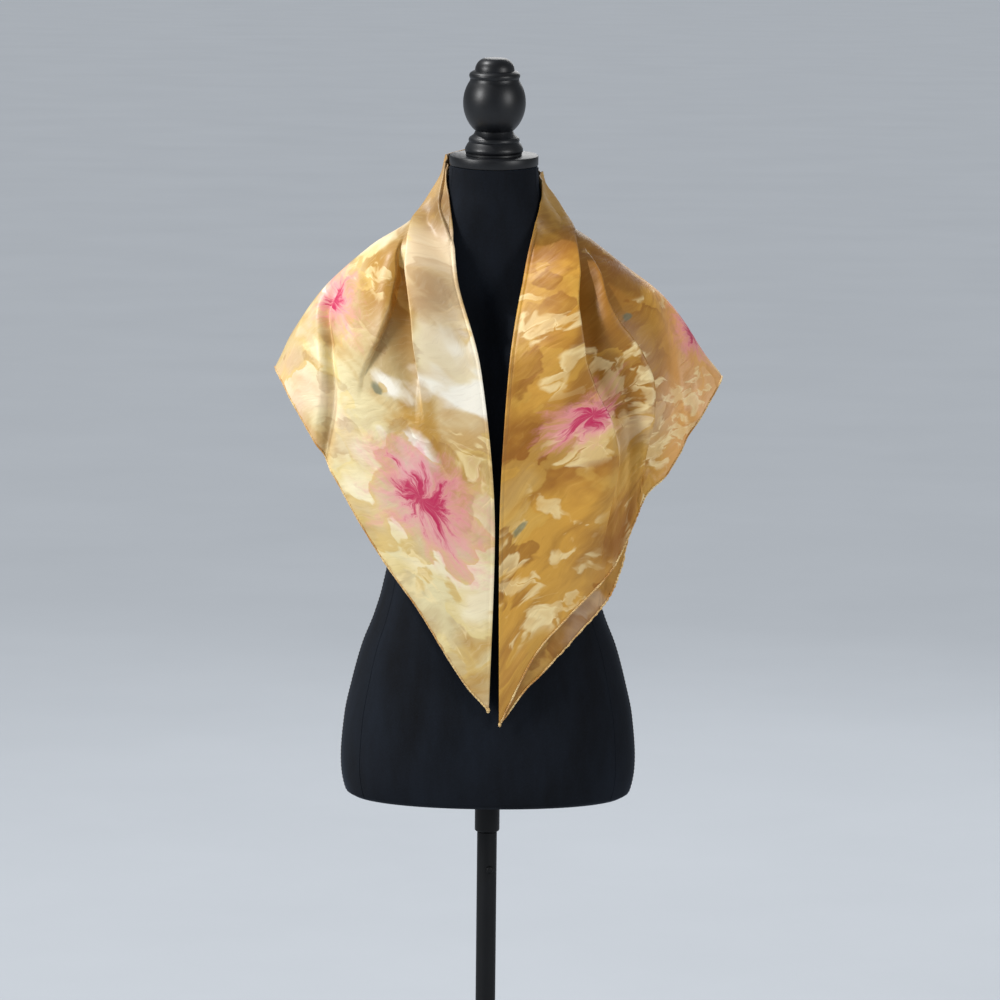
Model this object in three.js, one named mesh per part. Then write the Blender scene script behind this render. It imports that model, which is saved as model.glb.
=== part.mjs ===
// A square silk scarf, folded corner to corner into two layers and worn over the shoulders of a
// limbless dress form on a stand. Units are millimetres: x runs to the right as seen from the
// front, y to the back and z up from the floor, with the origin under the middle of the base.
import * as THREE from "three";

// The stand and the turned cap of the form.
const baseRadius = 150;
const baseThickness = 12;
const baseEdgeRound = 4;
const poleRadius = 12;
const poleSides = 24;
const socketRadius = 15;
const socketLength = 46;
const socketChamfer = 3;
const torsoBottom = 550;
const neckTop = 1310;
const neckCentreBack = 4;
const neckTiltDegrees = 4;
const capRadius = 53;
const capThickness = 12;
const turnedSides = 24;
const partGap = 0.4;

// The form, as level sections up from its bottom edge: half its width, and how far it reaches to
// the front and to the back of the stand's axis.
const torsoSections = [
  { up: 0, halfWidth: 163, front: 97, back: 106 },
  { up: 5, halfWidth: 171, front: 104, back: 113 },
  { up: 45, halfWidth: 177, front: 108, back: 122 },
  { up: 96, halfWidth: 173, front: 107, back: 126 },
  { up: 139, halfWidth: 164, front: 104, back: 121 },
  { up: 183, halfWidth: 152, front: 100, back: 108 },
  { up: 219, halfWidth: 138, front: 95, back: 95 },
  { up: 253, halfWidth: 128, front: 91, back: 85 },
  { up: 295, halfWidth: 121, front: 88, back: 79 },
  { up: 340, halfWidth: 123, front: 90, back: 82 },
  { up: 385, halfWidth: 131, front: 96, back: 90 },
  { up: 430, halfWidth: 139, front: 100, back: 98 },
  { up: 480, halfWidth: 147, front: 99, back: 105 },
  { up: 530, halfWidth: 160, front: 88, back: 108 },
  { up: 565, halfWidth: 179, front: 70, back: 104 },
  { up: 590, halfWidth: 194, front: 56, back: 96 },
  { up: 603, halfWidth: 192, front: 50, back: 89 },
  { up: 620, halfWidth: 175, front: 49, back: 82 },
  { up: 644, halfWidth: 145, front: 50, back: 75 },
  { up: 669, halfWidth: 112, front: 51, back: 69 },
  { up: 690, halfWidth: 82, front: 51, back: 64 },
  { up: 715, halfWidth: 62, front: 50, back: 60 },
  { up: 735, halfWidth: 54, front: 48, back: 57 },
  { up: 760, halfWidth: 52, front: 48, back: 56 },
];
const torsoSides = 36;
const torsoSquareness = 2.15;
const bust = { across: 74, up: 458, forward: 27, spreadAcross: 44, spreadUp: 58 };

// The cloth. The upper layer turns under in a half-round fold along the whole fold edge, down both
// fronts and round the neck, and the under layer goes on from there.
const clothThickness = 1.2;
const layerGap = 1.15;
const foldGap = 0.7;
const clearOfForm = 2.8;
const edgeClearOfForm = 5;
const shoulderClearOfForm = 6;
const hemInset = 7;
const hemStep = 4;
const rowPlaces = [0, 0.03, 0.07, 0.12, 0.18, 0.24, 0.31, 0.38, 0.46, 0.54, 0.62, 0.7, 0.78, 0.86, 0.93, 1];

// Rings of the draped scarf, from the fold round the neck (along 0) to the hem (along 1). Each
// gives where the ring starts at the front edge, its furthest point at the side, and its middle at
// the back. The hem's ring is the outline of the scarf from the front, the side and the back.
const rightRings = [
  { along: 0, frontX: -55.5, frontY: 1, frontZ: 1306, sideX: -59.5, sideY: 22, sideZ: 1313, backY: 65, backZ: 1321 },
  { along: 0.06, frontX: -52, frontY: -28, frontZ: 1279, sideX: -71, sideY: 18, sideZ: 1281, backY: 68, backZ: 1292 },
  { along: 0.12, frontX: -48, frontY: -43, frontZ: 1252, sideX: -89, sideY: 14, sideZ: 1251, backY: 74, backZ: 1262 },
  { along: 0.28, frontX: -38, frontY: -75, frontZ: 1186, sideX: -145, sideY: 7, sideZ: 1212, backY: 95, backZ: 1190 },
  { along: 0.5, frontX: -13, frontY: -116, frontZ: 1076, sideX: -205, sideY: 4, sideZ: 1156, backY: 118, backZ: 1070 },
  { along: 0.75, frontX: 5, frontY: -127, frontZ: 880, sideX: -237, sideY: 2, sideZ: 1106, backY: 122, backZ: 850 },
  { along: 1, frontX: 0, frontY: -118, frontZ: 674, sideX: -258, sideY: 0, sideZ: 1066, backY: 136, backZ: 575 },
];
const leftRings = [
  { along: 0, frontX: 55.5, frontY: 1, frontZ: 1300, sideX: 59.5, sideY: 22, sideZ: 1309, backY: 65, backZ: 1321 },
  { along: 0.06, frontX: 55, frontY: -26, frontZ: 1275, sideX: 71, sideY: 18, sideZ: 1276, backY: 68, backZ: 1292 },
  { along: 0.12, frontX: 49, frontY: -43, frontZ: 1249, sideX: 87, sideY: 14, sideZ: 1248, backY: 74, backZ: 1262 },
  { along: 0.28, frontX: 37, frontY: -75, frontZ: 1186, sideX: 145, sideY: 7, sideZ: 1206, backY: 95, backZ: 1190 },
  { along: 0.5, frontX: 21, frontY: -117, frontZ: 1076, sideX: 205, sideY: 4, sideZ: 1154, backY: 118, backZ: 1070 },
  { along: 0.75, frontX: 12, frontY: -128, frontZ: 880, sideX: 246, sideY: 2, sideZ: 1100, backY: 122, backZ: 850 },
  { along: 1, frontX: 14, frontY: -119, frontZ: 657, sideX: 275, sideY: 0, sideZ: 1060, backY: 136, backZ: 575 },
];

// How far the front hem sags below or lifts above a straight line, round from the front edge.
const rightHemSag = [
  { turn: 0, rise: 0 },
  { turn: 0.04, rise: -12 },
  { turn: 0.1, rise: -8 },
  { turn: 0.17, rise: -15 },
  { turn: 0.26, rise: -8 },
  { turn: 0.4, rise: 0 },
];
const leftHemSag = [
  { turn: 0, rise: 0 },
  { turn: 0.05, rise: 21 },
  { turn: 0.1, rise: 6 },
  { turn: 0.17, rise: -17 },
  { turn: 0.225, rise: 9 },
  { turn: 0.27, rise: -5 },
  { turn: 0.4, rise: 0 },
];

// How much further down than the upper layer the under layer's hem hangs on the left front; it
// stays a little short of it everywhere else.
const underHemShown = [
  { turn: 0, drop: 0 },
  { turn: 0.03, drop: 25 },
  { turn: 0.062, drop: 50 },
  { turn: 0.12, drop: 53 },
  { turn: 0.155, drop: 44 },
  { turn: 0.18, drop: 20 },
  { turn: 0.195, drop: -4 },
  { turn: 0.3, drop: -4 },
];
const meridianLength = 640;

// The folds of each half. A fold's line runs through its turns (0 at the front edge, 0.5 over the
// shoulder, 1 at the middle of the back) at the given shares of the way from neck to hem. It
// stands out by height over a slope of rise before its line and fall after it, its crest leans
// over by lean, and it starts at from, reaches its full size within growth and ends at to.
const rightFolds = [
  {
    name: "band_roll", height: 16, lean: 3, rise: 46, fall: 10, from: 0.02, growth: 0.22, to: 0.64,
    at: [0, 0.12, 0.2, 0.28, 0.4, 0.5, 0.6, 1],
    turns: [0.36, 0.32, 0.21, 0.155, 0.12, 0.102, 0.097, 0.09],
  },
  {
    name: "shoulder_overlap", height: 9, lean: -2, rise: 12, fall: 40, from: 0.2, growth: 0.16, to: 0.76,
    at: [0, 0.12, 0.22, 0.28, 0.35, 0.44, 0.53, 0.62, 0.67, 1],
    turns: [0.47, 0.42, 0.29, 0.245, 0.212, 0.202, 0.212, 0.2325, 0.24, 0.235],
  },
  {
    name: "arm_crease", height: 6, lean: -2, rise: 15, fall: 28, from: 0.4, growth: 0.16, to: 1.05,
    at: [0, 0.12, 0.22, 0.5, 0.66, 0.8, 0.93, 1],
    turns: [0.56, 0.51, 0.45, 0.41, 0.3275, 0.292, 0.285, 0.28],
  },
];
const leftFolds = [
  {
    name: "band_roll", height: 16, lean: 3, rise: 46, fall: 10, from: 0.02, growth: 0.22, to: 0.99,
    at: [0, 0.12, 0.22, 0.33, 0.43, 0.53, 0.61, 0.72, 0.79, 0.865, 1],
    turns: [0.38, 0.345, 0.222, 0.17, 0.149, 0.144, 0.153, 0.178, 0.178, 0.163, 0.14],
  },
  {
    name: "pouch_edge", height: 11, lean: 2, rise: 26, fall: 12, from: 0.2, growth: 0.2, to: 1.02,
    at: [0, 0.12, 0.22, 0.33, 0.43, 0.5, 0.545, 0.63, 0.7, 0.785, 0.865, 1],
    turns: [0.475, 0.425, 0.31, 0.25, 0.234, 0.24, 0.248, 0.255, 0.262, 0.248, 0.23, 0.207],
  },
  {
    name: "arm_crease", height: -6, lean: 0, rise: 24, fall: 28, from: 0.44, growth: 0.16, to: 1.2,
    at: [0, 0.12, 0.25, 0.5, 0.75, 1],
    turns: [0.57, 0.52, 0.46, 0.43, 0.36, 0.32],
  },
];
const backFolds = [
  { name: "blade_fold", height: 10, lean: 0, rise: 28, fall: 24, from: 0.3, growth: 0.3, to: 1.3, at: [0, 0.4, 1], turns: [0.6, 0.62, 0.66] },
  { name: "spine_fold", height: 13, lean: 0, rise: 34, fall: 28, from: 0.15, growth: 0.3, to: 1.3, at: [0, 0.4, 1], turns: [0.78, 0.8, 0.84] },
];

// Where the mesh's columns stand about a fold's line, in millimetres, and how many lie between one
// fold and the next.
const foldColumns = [-12, 0, 5, 11];
const foldWidth = 380;
const softFoldColumns = [0];
const columnsBetween = [3, 1, 2, 4, 2, 2];

const materials = {
  velvet: { color: 0x14161b, roughness: 0.95, metalness: 0 },
  lacquer: { color: 0x17191e, roughness: 0.38, metalness: 0 },
  poleMetal: { color: 0x151618, roughness: 0.5, metalness: 0.4 },
  silk: { color: 0xc99a4a, roughness: 0.45, metalness: 0 },
  silkUnder: { color: 0xa8742c, roughness: 0.45, metalness: 0 },
};

// Reads a named column of a table at any place along it, by a smooth curve that never overshoots
// its rows, and goes straight on past its ends.
function readTable(rows, along, column, place) {
  const last = rows.length - 1;
  let i = 0;
  while (i < last - 1 && place > rows[i + 1][along]) i++;
  const step = (k) => rows[k + 1][along] - rows[k][along];
  const slope = (k) => (rows[k + 1][column] - rows[k][column]) / step(k);
  const tangent = (k) => {
    if (k === 0) return slope(0);
    if (k === last) return slope(last - 1);
    const [before, after] = [slope(k - 1), slope(k)];
    if (before * after <= 0) return 0;
    const [a, b] = [2 * step(k) + step(k - 1), step(k) + 2 * step(k - 1)];
    return (a + b) / (a / before + b / after);
  };
  if (place <= rows[0][along]) return rows[0][column] + (place - rows[0][along]) * tangent(0);
  if (place >= rows[last][along]) return rows[last][column] + (place - rows[last][along]) * tangent(last);
  const h = step(i);
  const t = (place - rows[i][along]) / h;
  const [t2, t3] = [t * t, t * t * t];
  return (
    rows[i][column] * (2 * t3 - 3 * t2 + 1) +
    rows[i + 1][column] * (3 * t2 - 2 * t3) +
    h * (tangent(i) * (t3 - 2 * t2 + t) + tangent(i + 1) * (t3 - t2))
  );
}

function smooth(from, to, value) {
  const t = Math.min(1, Math.max(0, (value - from) / (to - from)));
  return t * t * (3 - 2 * t);
}

// How far the form's skin lies from its own axis, in a direction seen from above.
function formRadius(angle, z) {
  const up = z - torsoBottom;
  const [across, along] = [Math.cos(angle), Math.sin(angle)];
  const halfWidth = readTable(torsoSections, "up", "halfWidth", up);
  const depth = readTable(torsoSections, "up", along < 0 ? "front" : "back", up);
  const n = torsoSquareness;
  const plain = (Math.abs(across / halfWidth) ** n + Math.abs(along / depth) ** n) ** (-1 / n);
  if (along >= 0) return plain;
  const sideways = (Math.abs(plain * across) - bust.across) / bust.spreadAcross;
  const upward = (up - bust.up) / bust.spreadUp;
  return plain + bust.forward * -along * Math.exp(-sideways * sideways - upward * upward);
}

// The neck leans forward a little, so its top is a slanted cut.
function neckSlant(y, z) {
  const share = smooth(neckTop - 60, neckTop, z);
  return share * (y - neckCentreBack) * Math.tan(THREE.MathUtils.degToRad(neckTiltDegrees));
}

// A closed mesh from rings of points, each ring closed on itself, with its two ends filled.
function loftGeometry(rings) {
  const sides = rings[0].length;
  const points = rings.flat();
  const index = [];
  for (let r = 0; r < rings.length - 1; r++) {
    for (let s = 0; s < sides; s++) {
      const next = (s + 1) % sides;
      const [a, b] = [r * sides + s, r * sides + next];
      const [c, d] = [a + sides, b + sides];
      index.push(a, b, d, a, d, c);
    }
  }
  const centreOf = (ring) => ring.reduce((sum, p) => sum.add(p), new THREE.Vector3()).divideScalar(sides);
  const bottom = points.push(centreOf(rings[0])) - 1;
  const top = points.push(centreOf(rings.at(-1))) - 1;
  const lastRing = (rings.length - 1) * sides;
  for (let s = 0; s < sides; s++) {
    const next = (s + 1) % sides;
    index.push(bottom, next, s, top, lastRing + s, lastRing + next);
  }
  return geometryFrom(points, index);
}

function geometryFrom(points, index) {
  const geometry = new THREE.BufferGeometry().setFromPoints(points);
  geometry.setIndex(index);
  return geometry;
}

function torsoGeometry() {
  const rings = torsoSections.map(({ up }) => {
    const z = torsoBottom + up;
    return Array.from({ length: torsoSides }, (_, s) => {
      const angle = (2 * Math.PI * s) / torsoSides;
      const radius = formRadius(angle, z);
      const [x, y] = [radius * Math.cos(angle), radius * Math.sin(angle)];
      return new THREE.Vector3(x, y, z + neckSlant(y, z));
    });
  });
  return loftGeometry(rings);
}

// A body turned on the z axis from a profile of [radius, height] pairs, closed on the axis.
function turnedGeometry(profile, sides) {
  const points = profile.map(([radius, height]) => new THREE.Vector2(radius, height));
  return new THREE.LatheGeometry(points, sides).rotateX(Math.PI / 2);
}

// An arc of a turned profile round a centre, from one angle to another in degrees.
function profileArc(centreRadius, centreHeight, across, upward, fromDegrees, toDegrees, steps) {
  return Array.from({ length: steps + 1 }, (_, i) => {
    const angle = THREE.MathUtils.degToRad(fromDegrees + ((toDegrees - fromDegrees) * i) / steps);
    return [centreRadius + across * Math.cos(angle), centreHeight + upward * Math.sin(angle)];
  });
}

function capGeometry() {
  const edge = 1.2;
  const profile = [
    [0, 0],
    [capRadius - edge, 0],
    [capRadius, edge],
    [capRadius, capThickness - edge],
    [capRadius - edge, capThickness],
    [0, capThickness],
  ];
  return turnedGeometry(profile, turnedSides);
}

// The knob above the cap: two foot rings, a waist, a ball, a collar and a domed button.
function finialGeometry() {
  const profile = [
    [0, 0],
    [33.5, 0],
    ...profileArc(31, 6, 3.6, 5, -50, 40, 2),
    [32, 12.5],
    ...profileArc(26, 17.5, 4.4, 4.4, -30, 60, 2),
    [24.5, 24],
    [22.3, 28.5],
    ...profileArc(0, 62, 37.3, 42, -50, 38, 8),
    ...profileArc(26.5, 94, 3.8, 4.4, -50, 50, 2),
    [25.5, 99.5],
    ...profileArc(9, 100, 14.5, 15, 0, 72, 4),
    [0, 115],
  ];
  return turnedGeometry(profile, turnedSides);
}

function socketGeometry() {
  const profile = [
    [0, 0],
    [socketRadius - socketChamfer, 0],
    [socketRadius, socketChamfer],
    [socketRadius, socketLength],
    [0, socketLength],
  ];
  return turnedGeometry(profile, poleSides);
}

function poleGeometry(length) {
  return new THREE.CylinderGeometry(poleRadius, poleRadius, length, poleSides)
    .rotateX(Math.PI / 2)
    .translate(0, 0, length / 2);
}

// A flat weighted disc with a low boss that takes the pole.
function baseGeometry() {
  const profile = [
    [0, 0],
    [baseRadius - baseEdgeRound, 0],
    [baseRadius, baseEdgeRound],
    [baseRadius, baseThickness - baseEdgeRound],
    [baseRadius - baseEdgeRound, baseThickness],
    [2.4 * poleRadius, baseThickness],
    [1.9 * poleRadius, 2.2 * baseThickness],
    [0, 2.2 * baseThickness],
  ];
  return turnedGeometry(profile, 2 * poleSides);
}

// A point of the smooth scarf, without folds, at a turn round the body and a share of the way
// from the neck to the hem.
function smoothCloth(half, turn, along) {
  const read = (column) => readTable(half.rings, "along", column, along);
  const [sine, cosine] = [Math.sin(Math.PI * turn), Math.cos(Math.PI * turn)];
  const side = new THREE.Vector3(read("sideX"), read("sideY"), read("sideZ"));
  const front = cosine > 0;
  const sag = front ? readTable(half.hemSag, "turn", "rise", Math.min(0.4, turn)) * smooth(0.55, 1, along) : 0;
  const x = front ? read("frontX") + (side.x - read("frontX")) * sine : side.x * sine;
  // Beside the neck the front goes straight back; further down it rounds the chest.
  const rounded = front ? smooth(0, 0.3, along) : 1;
  const reach = rounded * Math.abs(cosine) + (1 - rounded) * (1 - sine);
  const y = side.y + ((front ? read("frontY") : read("backY")) - side.y) * reach;
  const z = side.z + ((front ? read("frontZ") : read("backZ")) - side.z) * (1 - sine);
  return new THREE.Vector3(x, y, z + sag);
}

// Two unit directions of the smooth scarf, along its ring and out of it, and its width per turn.
function clothDirections(half, turn, along) {
  const small = 0.004;
  const ring = smoothCloth(half, turn + small, along).sub(smoothCloth(half, turn - small, along));
  const down = smoothCloth(half, turn, along + small).sub(smoothCloth(half, turn, along - small));
  const width = ring.length() / (2 * small);
  const outward = new THREE.Vector3().crossVectors(ring, down).multiplyScalar(-half.side).normalize();
  return { ring: ring.normalize(), outward, width };
}

function foldTurn(fold, along) {
  const rows = fold.at.map((place, i) => ({ place, turn: fold.turns[i] }));
  return readTable(rows, "place", "turn", along);
}

// How far a fold carries a point: out of the smooth cloth and along its ring. A fold gets smaller
// in all its measures where the rings are short, towards the neck.
function foldShift(fold, turn, along, width) {
  const strength = smooth(fold.from, fold.from + fold.growth, along) * (1 - smooth(fold.to - 0.22, fold.to, along));
  const scale = Math.min(1, width / foldWidth);
  const distance = ((turn - foldTurn(fold, along)) * width) / scale;
  const rising = smooth(-fold.rise, 0, distance);
  const fallen = smooth(0, fold.fall, distance);
  const recovered = smooth(fold.fall, 3 * fold.fall, distance);
  return {
    out: scale * strength * fold.height * rising * (1 - fallen),
    lean: scale * strength * fold.lean * (rising - 2 * fallen + recovered),
  };
}

// Moves a point out of the form, along the form's skin, until it clears it.
function clearForm(point, clearance) {
  for (let pass = 0; pass < 4; pass++) {
    const angle = Math.atan2(point.y, point.x);
    const z = point.z - neckSlant(point.y, point.z);
    const radius = formRadius(angle, z);
    const riseSlope = (formRadius(angle, z + 2) - formRadius(angle, z - 2)) / 4;
    const turnSlope = (formRadius(angle + 0.02, z) - formRadius(angle - 0.02, z)) / 0.04 / radius;
    const steepness = Math.hypot(1, riseSlope, turnSlope);
    const distance = (Math.hypot(point.x, point.y) - radius) / steepness;
    if (distance >= clearance || z > neckTop + 40) return point;
    const move = (clearance - distance) / steepness;
    point.x += move * (Math.cos(angle) + turnSlope * Math.sin(angle));
    point.y += move * (Math.sin(angle) - turnSlope * Math.cos(angle));
    point.z -= move * riseSlope;
  }
  return point;
}

// The turns of the mesh's columns over one half of the scarf: close together round each fold.
function columnTurns(half, along) {
  const groups = [[0]];
  for (const fold of half.folds) {
    const centre = foldTurn(fold, along);
    const { width } = clothDirections(half, centre, along);
    const offsets = fold.lean ? foldColumns : softFoldColumns;
    const side = fold.lean < 0 ? -1 : 1;
    const group = offsets.map((offset) => centre + (side * offset) / Math.max(width, foldWidth));
    groups.push(group.sort((a, b) => a - b));
  }
  groups.push([1]);
  const turns = [];
  groups.forEach((group, i) => {
    if (i) {
      const [from, to] = [groups[i - 1].at(-1), group[0]];
      const count = columnsBetween[i - 1];
      for (let k = 1; k <= count; k++) turns.push(from + ((to - from) * k) / (count + 1));
    }
    turns.push(...group);
  });
  return turns;
}

// One row of points over one half of the scarf, from its front edge to the middle of the back.
function halfRow(half, along, hemDrop) {
  return columnTurns(half, along).map((turn) => {
    const reach = along + hemDrop(turn) / meridianLength;
    const { ring, outward, width } = clothDirections(half, turn, Math.max(0.02, reach));
    const point = smoothCloth(half, turn, reach);
    for (const fold of half.folds) {
      const { out, lean } = foldShift(fold, turn, reach, width);
      point.addScaledVector(outward, out).addScaledVector(ring, lean);
    }
    const onShoulder = smooth(0, 0.1, along) * (1 - smooth(0.26, 0.42, along));
    const plain = clearOfForm + (shoulderClearOfForm - clearOfForm) * onShoulder;
    return clearForm(point, Math.max(plain, edgeClearOfForm + (plain - edgeClearOfForm) * smooth(0, 0.12, turn)));
  });
}

const rightHalf = { side: -1, rings: rightRings, hemSag: rightHemSag, folds: [...rightFolds, ...backFolds] };
const leftHalf = { side: 1, rings: leftRings, hemSag: leftHemSag, folds: [...leftFolds, ...backFolds] };

// One row of the middle surface, from the right front edge round the back to the left front edge.
function clothRow(along, hemDropRight, hemDropLeft) {
  const right = halfRow(rightHalf, along, hemDropRight);
  const left = halfRow(leftHalf, along, hemDropLeft);
  return [...right, ...left.reverse().slice(1)];
}

// The unit direction out of a grid of points, at each of them.
function gridNormals(grid) {
  const [rows, columns] = [grid.length, grid[0].length];
  return grid.map((row, r) =>
    row.map((_, c) => {
      const down = grid[Math.min(r + 1, rows - 1)][c].clone().sub(grid[Math.max(r - 1, 0)][c]);
      const round = row[Math.min(c + 1, columns - 1)].clone().sub(row[Math.max(c - 1, 0)]);
      return new THREE.Vector3().crossVectors(round, down).normalize();
    }),
  );
}

// The point a given distance along the straight line from one point to another.
function stepTowards(from, to, distance) {
  return from.clone().lerp(to, distance / from.distanceTo(to));
}

// Every point of a grid moved along its own direction.
function offsetGrid(grid, normals, offset) {
  return grid.map((row, r) => row.map((p, c) => p.clone().addScaledVector(normals[r][c], offset)));
}

// The grid's own edge, as [row, column] pairs: up the right front, round the neck, down the left.
function foldEdge(grid) {
  const [rows, columns] = [grid.length, grid[0].length];
  const path = [];
  for (let r = rows - 1; r > 0; r--) path.push([r, 0]);
  for (let c = 0; c < columns; c++) path.push([0, c]);
  for (let r = 1; r < rows; r++) path.push([r, columns - 1]);
  return path;
}

// Unit directions, in the cloth and square to its fold edge, that lead off it.
function edgeDirections(grid, normals, path) {
  const at = ([r, c]) => grid[r][c];
  return path.map(([r, c], i) => {
    const before = at(path[Math.max(i - 1, 0)]);
    const after = at(path[Math.min(i + 1, path.length - 1)]);
    const run = after.clone().sub(before);
    return run.cross(normals[r][c]).normalize();
  });
}

// The upper layer: a wall over the grid, whose edge turns under along the fold.
function upperLayerGeometry(grid) {
  const normals = gridNormals(grid);
  const [rows, columns] = [grid.length, grid[0].length];
  const [near, far] = [layerGap / 2, layerGap / 2 + clothThickness];
  const points = [...offsetGrid(grid, normals, near).flat(), ...offsetGrid(grid, normals, far).flat()];
  const outer = rows * columns;
  const index = [];
  const quad = (a, b, c, d) => index.push(a, b, c, a, c, d);
  for (let r = 0; r < rows - 1; r++) {
    for (let c = 0; c < columns - 1; c++) {
      const [a, b] = [r * columns + c, r * columns + c + 1];
      const [d, e] = [a + columns, b + columns];
      quad(a, d, e, b);
      quad(outer + a, outer + b, outer + e, outer + d);
    }
  }
  // The fold's section at each point of the edge, from the wall's inner face round to its outer one.
  const path = foldEdge(grid);
  const leading = edgeDirections(grid, normals, path);
  const bend = far * Math.SQRT1_2;
  const turns = [[0, near], [-near, 0], [-far, 0], [-bend, bend], [bend, bend]];
  const sections = path.map(([r, c], i) => {
    const start = points.length;
    turns.forEach(([out, off]) => {
      points.push(grid[r][c].clone().addScaledVector(normals[r][c], out).addScaledVector(leading[i], off));
    });
    return [r * columns + c, ...turns.map((_, k) => start + k), outer + r * columns + c];
  });
  const steps = turns.length + 1;
  for (let i = 0; i < sections.length - 1; i++) {
    const [here, next] = [sections[i], sections[i + 1]];
    for (let k = 0; k < steps; k++) quad(here[k], next[k], next[k + 1], here[k + 1]);
  }
  for (let c = 0; c < columns - 1; c++) {
    const a = (rows - 1) * columns + c;
    quad(a, outer + a, outer + a + 1, a + 1);
  }
  // The fold's two open ends, at the tips of the scarf.
  const capFaces = [[0, 6, 5], [0, 5, 1], [1, 5, 4], [1, 4, 3], [1, 3, 2]];
  for (const [i, j, k] of capFaces) {
    const [right, left] = [sections[0], sections.at(-1)];
    index.push(right[k], right[j], right[i], left[i], left[j], left[k]);
  }
  return geometryFrom(points, index);
}

// A row of points whose first one moves in from the fold, which runs along edge there. The next
// ones close up behind it, all along the row's own line.
function squeezeRow(row, normals, edge) {
  const start = row[1].clone().sub(row[0]).normalize();
  const back = foldGap / start.cross(edge).length();
  const zone = 4 * back;
  const reach = [0];
  for (let c = 1; c < row.length; c++) reach.push(reach[c - 1] + row[c].distanceTo(row[c - 1]));
  return row.map((p, c) => {
    if (reach[c] >= zone) return { place: p.clone(), normal: normals[c].clone() };
    const target = back + (reach[c] * (zone - back)) / zone;
    const next = reach.findIndex((length) => length >= target);
    const share = (target - reach[next - 1]) / (reach[next] - reach[next - 1]);
    return {
      place: row[next - 1].clone().lerp(row[next], share),
      normal: normals[next - 1].clone().lerp(normals[next], share).normalize(),
    };
  });
}

// The under layer: a plain wall over the grid, trimmed back from the fold.
function underLayerGeometry(grid) {
  const [rows, columns] = [grid.length, grid[0].length];
  const normals = gridNormals(grid);
  const edgeAt = (r, c) => grid[Math.min(r + 1, rows - 1)][c].clone().sub(grid[Math.max(r - 1, 0)][c]).normalize();
  const trimmed = grid.map((row, r) => {
    const fromRight = squeezeRow(row, normals[r], edgeAt(r, 0));
    const leftFirst = [[...row].reverse(), [...normals[r]].reverse()];
    const fromLeft = squeezeRow(...leftFirst, edgeAt(r, columns - 1)).reverse();
    const middle = Math.floor(columns / 2);
    return [...fromRight.slice(0, middle), ...fromLeft.slice(middle)];
  });
  const places = trimmed.map((row) => row.map(({ place }) => place));
  const directions = trimmed.map((row) => row.map(({ normal }) => normal));
  places[0] = places[0].map((p, c) => {
    const down = places[1][c].clone().sub(p).normalize();
    const along = grid[0][Math.min(c + 1, columns - 1)].clone().sub(grid[0][Math.max(c - 1, 0)]).normalize();
    return stepTowards(p, places[1][c], foldGap / down.cross(along).length());
  });
  const faces = [
    offsetGrid(places, directions, -layerGap / 2 - clothThickness),
    offsetGrid(places, directions, -layerGap / 2),
  ];
  const points = faces.flat(2);
  const outer = rows * columns;
  const index = [];
  const quad = (a, b, c, d) => index.push(a, b, c, a, c, d);
  for (let r = 0; r < rows - 1; r++) {
    for (let c = 0; c < columns - 1; c++) {
      const [a, b] = [r * columns + c, r * columns + c + 1];
      const [d, e] = [a + columns, b + columns];
      quad(a, d, e, b);
      quad(outer + a, outer + b, outer + e, outer + d);
    }
  }
  const rim = [];
  for (let c = 0; c < columns - 1; c++) rim.push(c);
  for (let r = 0; r < rows - 1; r++) rim.push(r * columns + columns - 1);
  for (let c = columns - 1; c > 0; c--) rim.push((rows - 1) * columns + c);
  for (let r = rows - 1; r > 0; r--) rim.push(r * columns);
  rim.forEach((p, i) => {
    const next = rim[(i + 1) % rim.length];
    quad(p, next, outer + next, outer + p);
  });
  return geometryFrom(points, index);
}

function namedMesh(name, geometry, material) {
  const mesh = new THREE.Mesh(geometry, new THREE.MeshStandardMaterial(materials[material]));
  mesh.name = name;
  return mesh;
}

const upperGrid = rowPlaces.map((along) => clothRow(along, () => 0, () => 0));

// The under layer follows the upper one's rows. Its hem then hangs on below the upper hem where it
// shows, and stops short of it where it is hidden.
const shown = (turn) => readTable(underHemShown, "turn", "drop", Math.min(turn, 0.3));
const [hemBefore, hemRow] = upperGrid.slice(-2);
const droppedRow = clothRow(1, () => 0, shown);
const leftTurns = columnTurns(leftHalf, 1).reverse().slice(1);
const firstLeft = hemRow.length - leftTurns.length;
const shows = hemRow.map((_, c) => c >= firstLeft && shown(leftTurns[c - firstLeft]) > hemStep);
const isTip = (c) => c === hemRow.length - 1;
const underGrid = [
  ...upperGrid.slice(0, -1),
  hemRow.map((p, c) => (shows[c] ? p : stepTowards(p, hemBefore[c], hemInset))),
  hemRow.map((p, c) => {
    if (shows[c]) return droppedRow[c];
    return isTip(c) ? p : stepTowards(p, hemBefore[c], hemInset - hemStep);
  }),
];

const part = new THREE.Group();
part.add(namedMesh("scarf_upper_layer", upperLayerGeometry(upperGrid), "silk"));
part.add(namedMesh("scarf_under_layer", underLayerGeometry(underGrid), "silkUnder"));
part.add(namedMesh("form_torso", torsoGeometry(), "velvet"));

const neckEnd = new THREE.Group();
neckEnd.position.set(0, neckCentreBack, neckTop);
neckEnd.rotation.x = THREE.MathUtils.degToRad(neckTiltDegrees);
part.add(neckEnd);
const cap = namedMesh("neck_cap", capGeometry(), "lacquer");
cap.position.z = partGap;
neckEnd.add(cap);
const finial = namedMesh("finial", finialGeometry(), "lacquer");
finial.position.z = capThickness + 2 * partGap;
neckEnd.add(finial);

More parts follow.
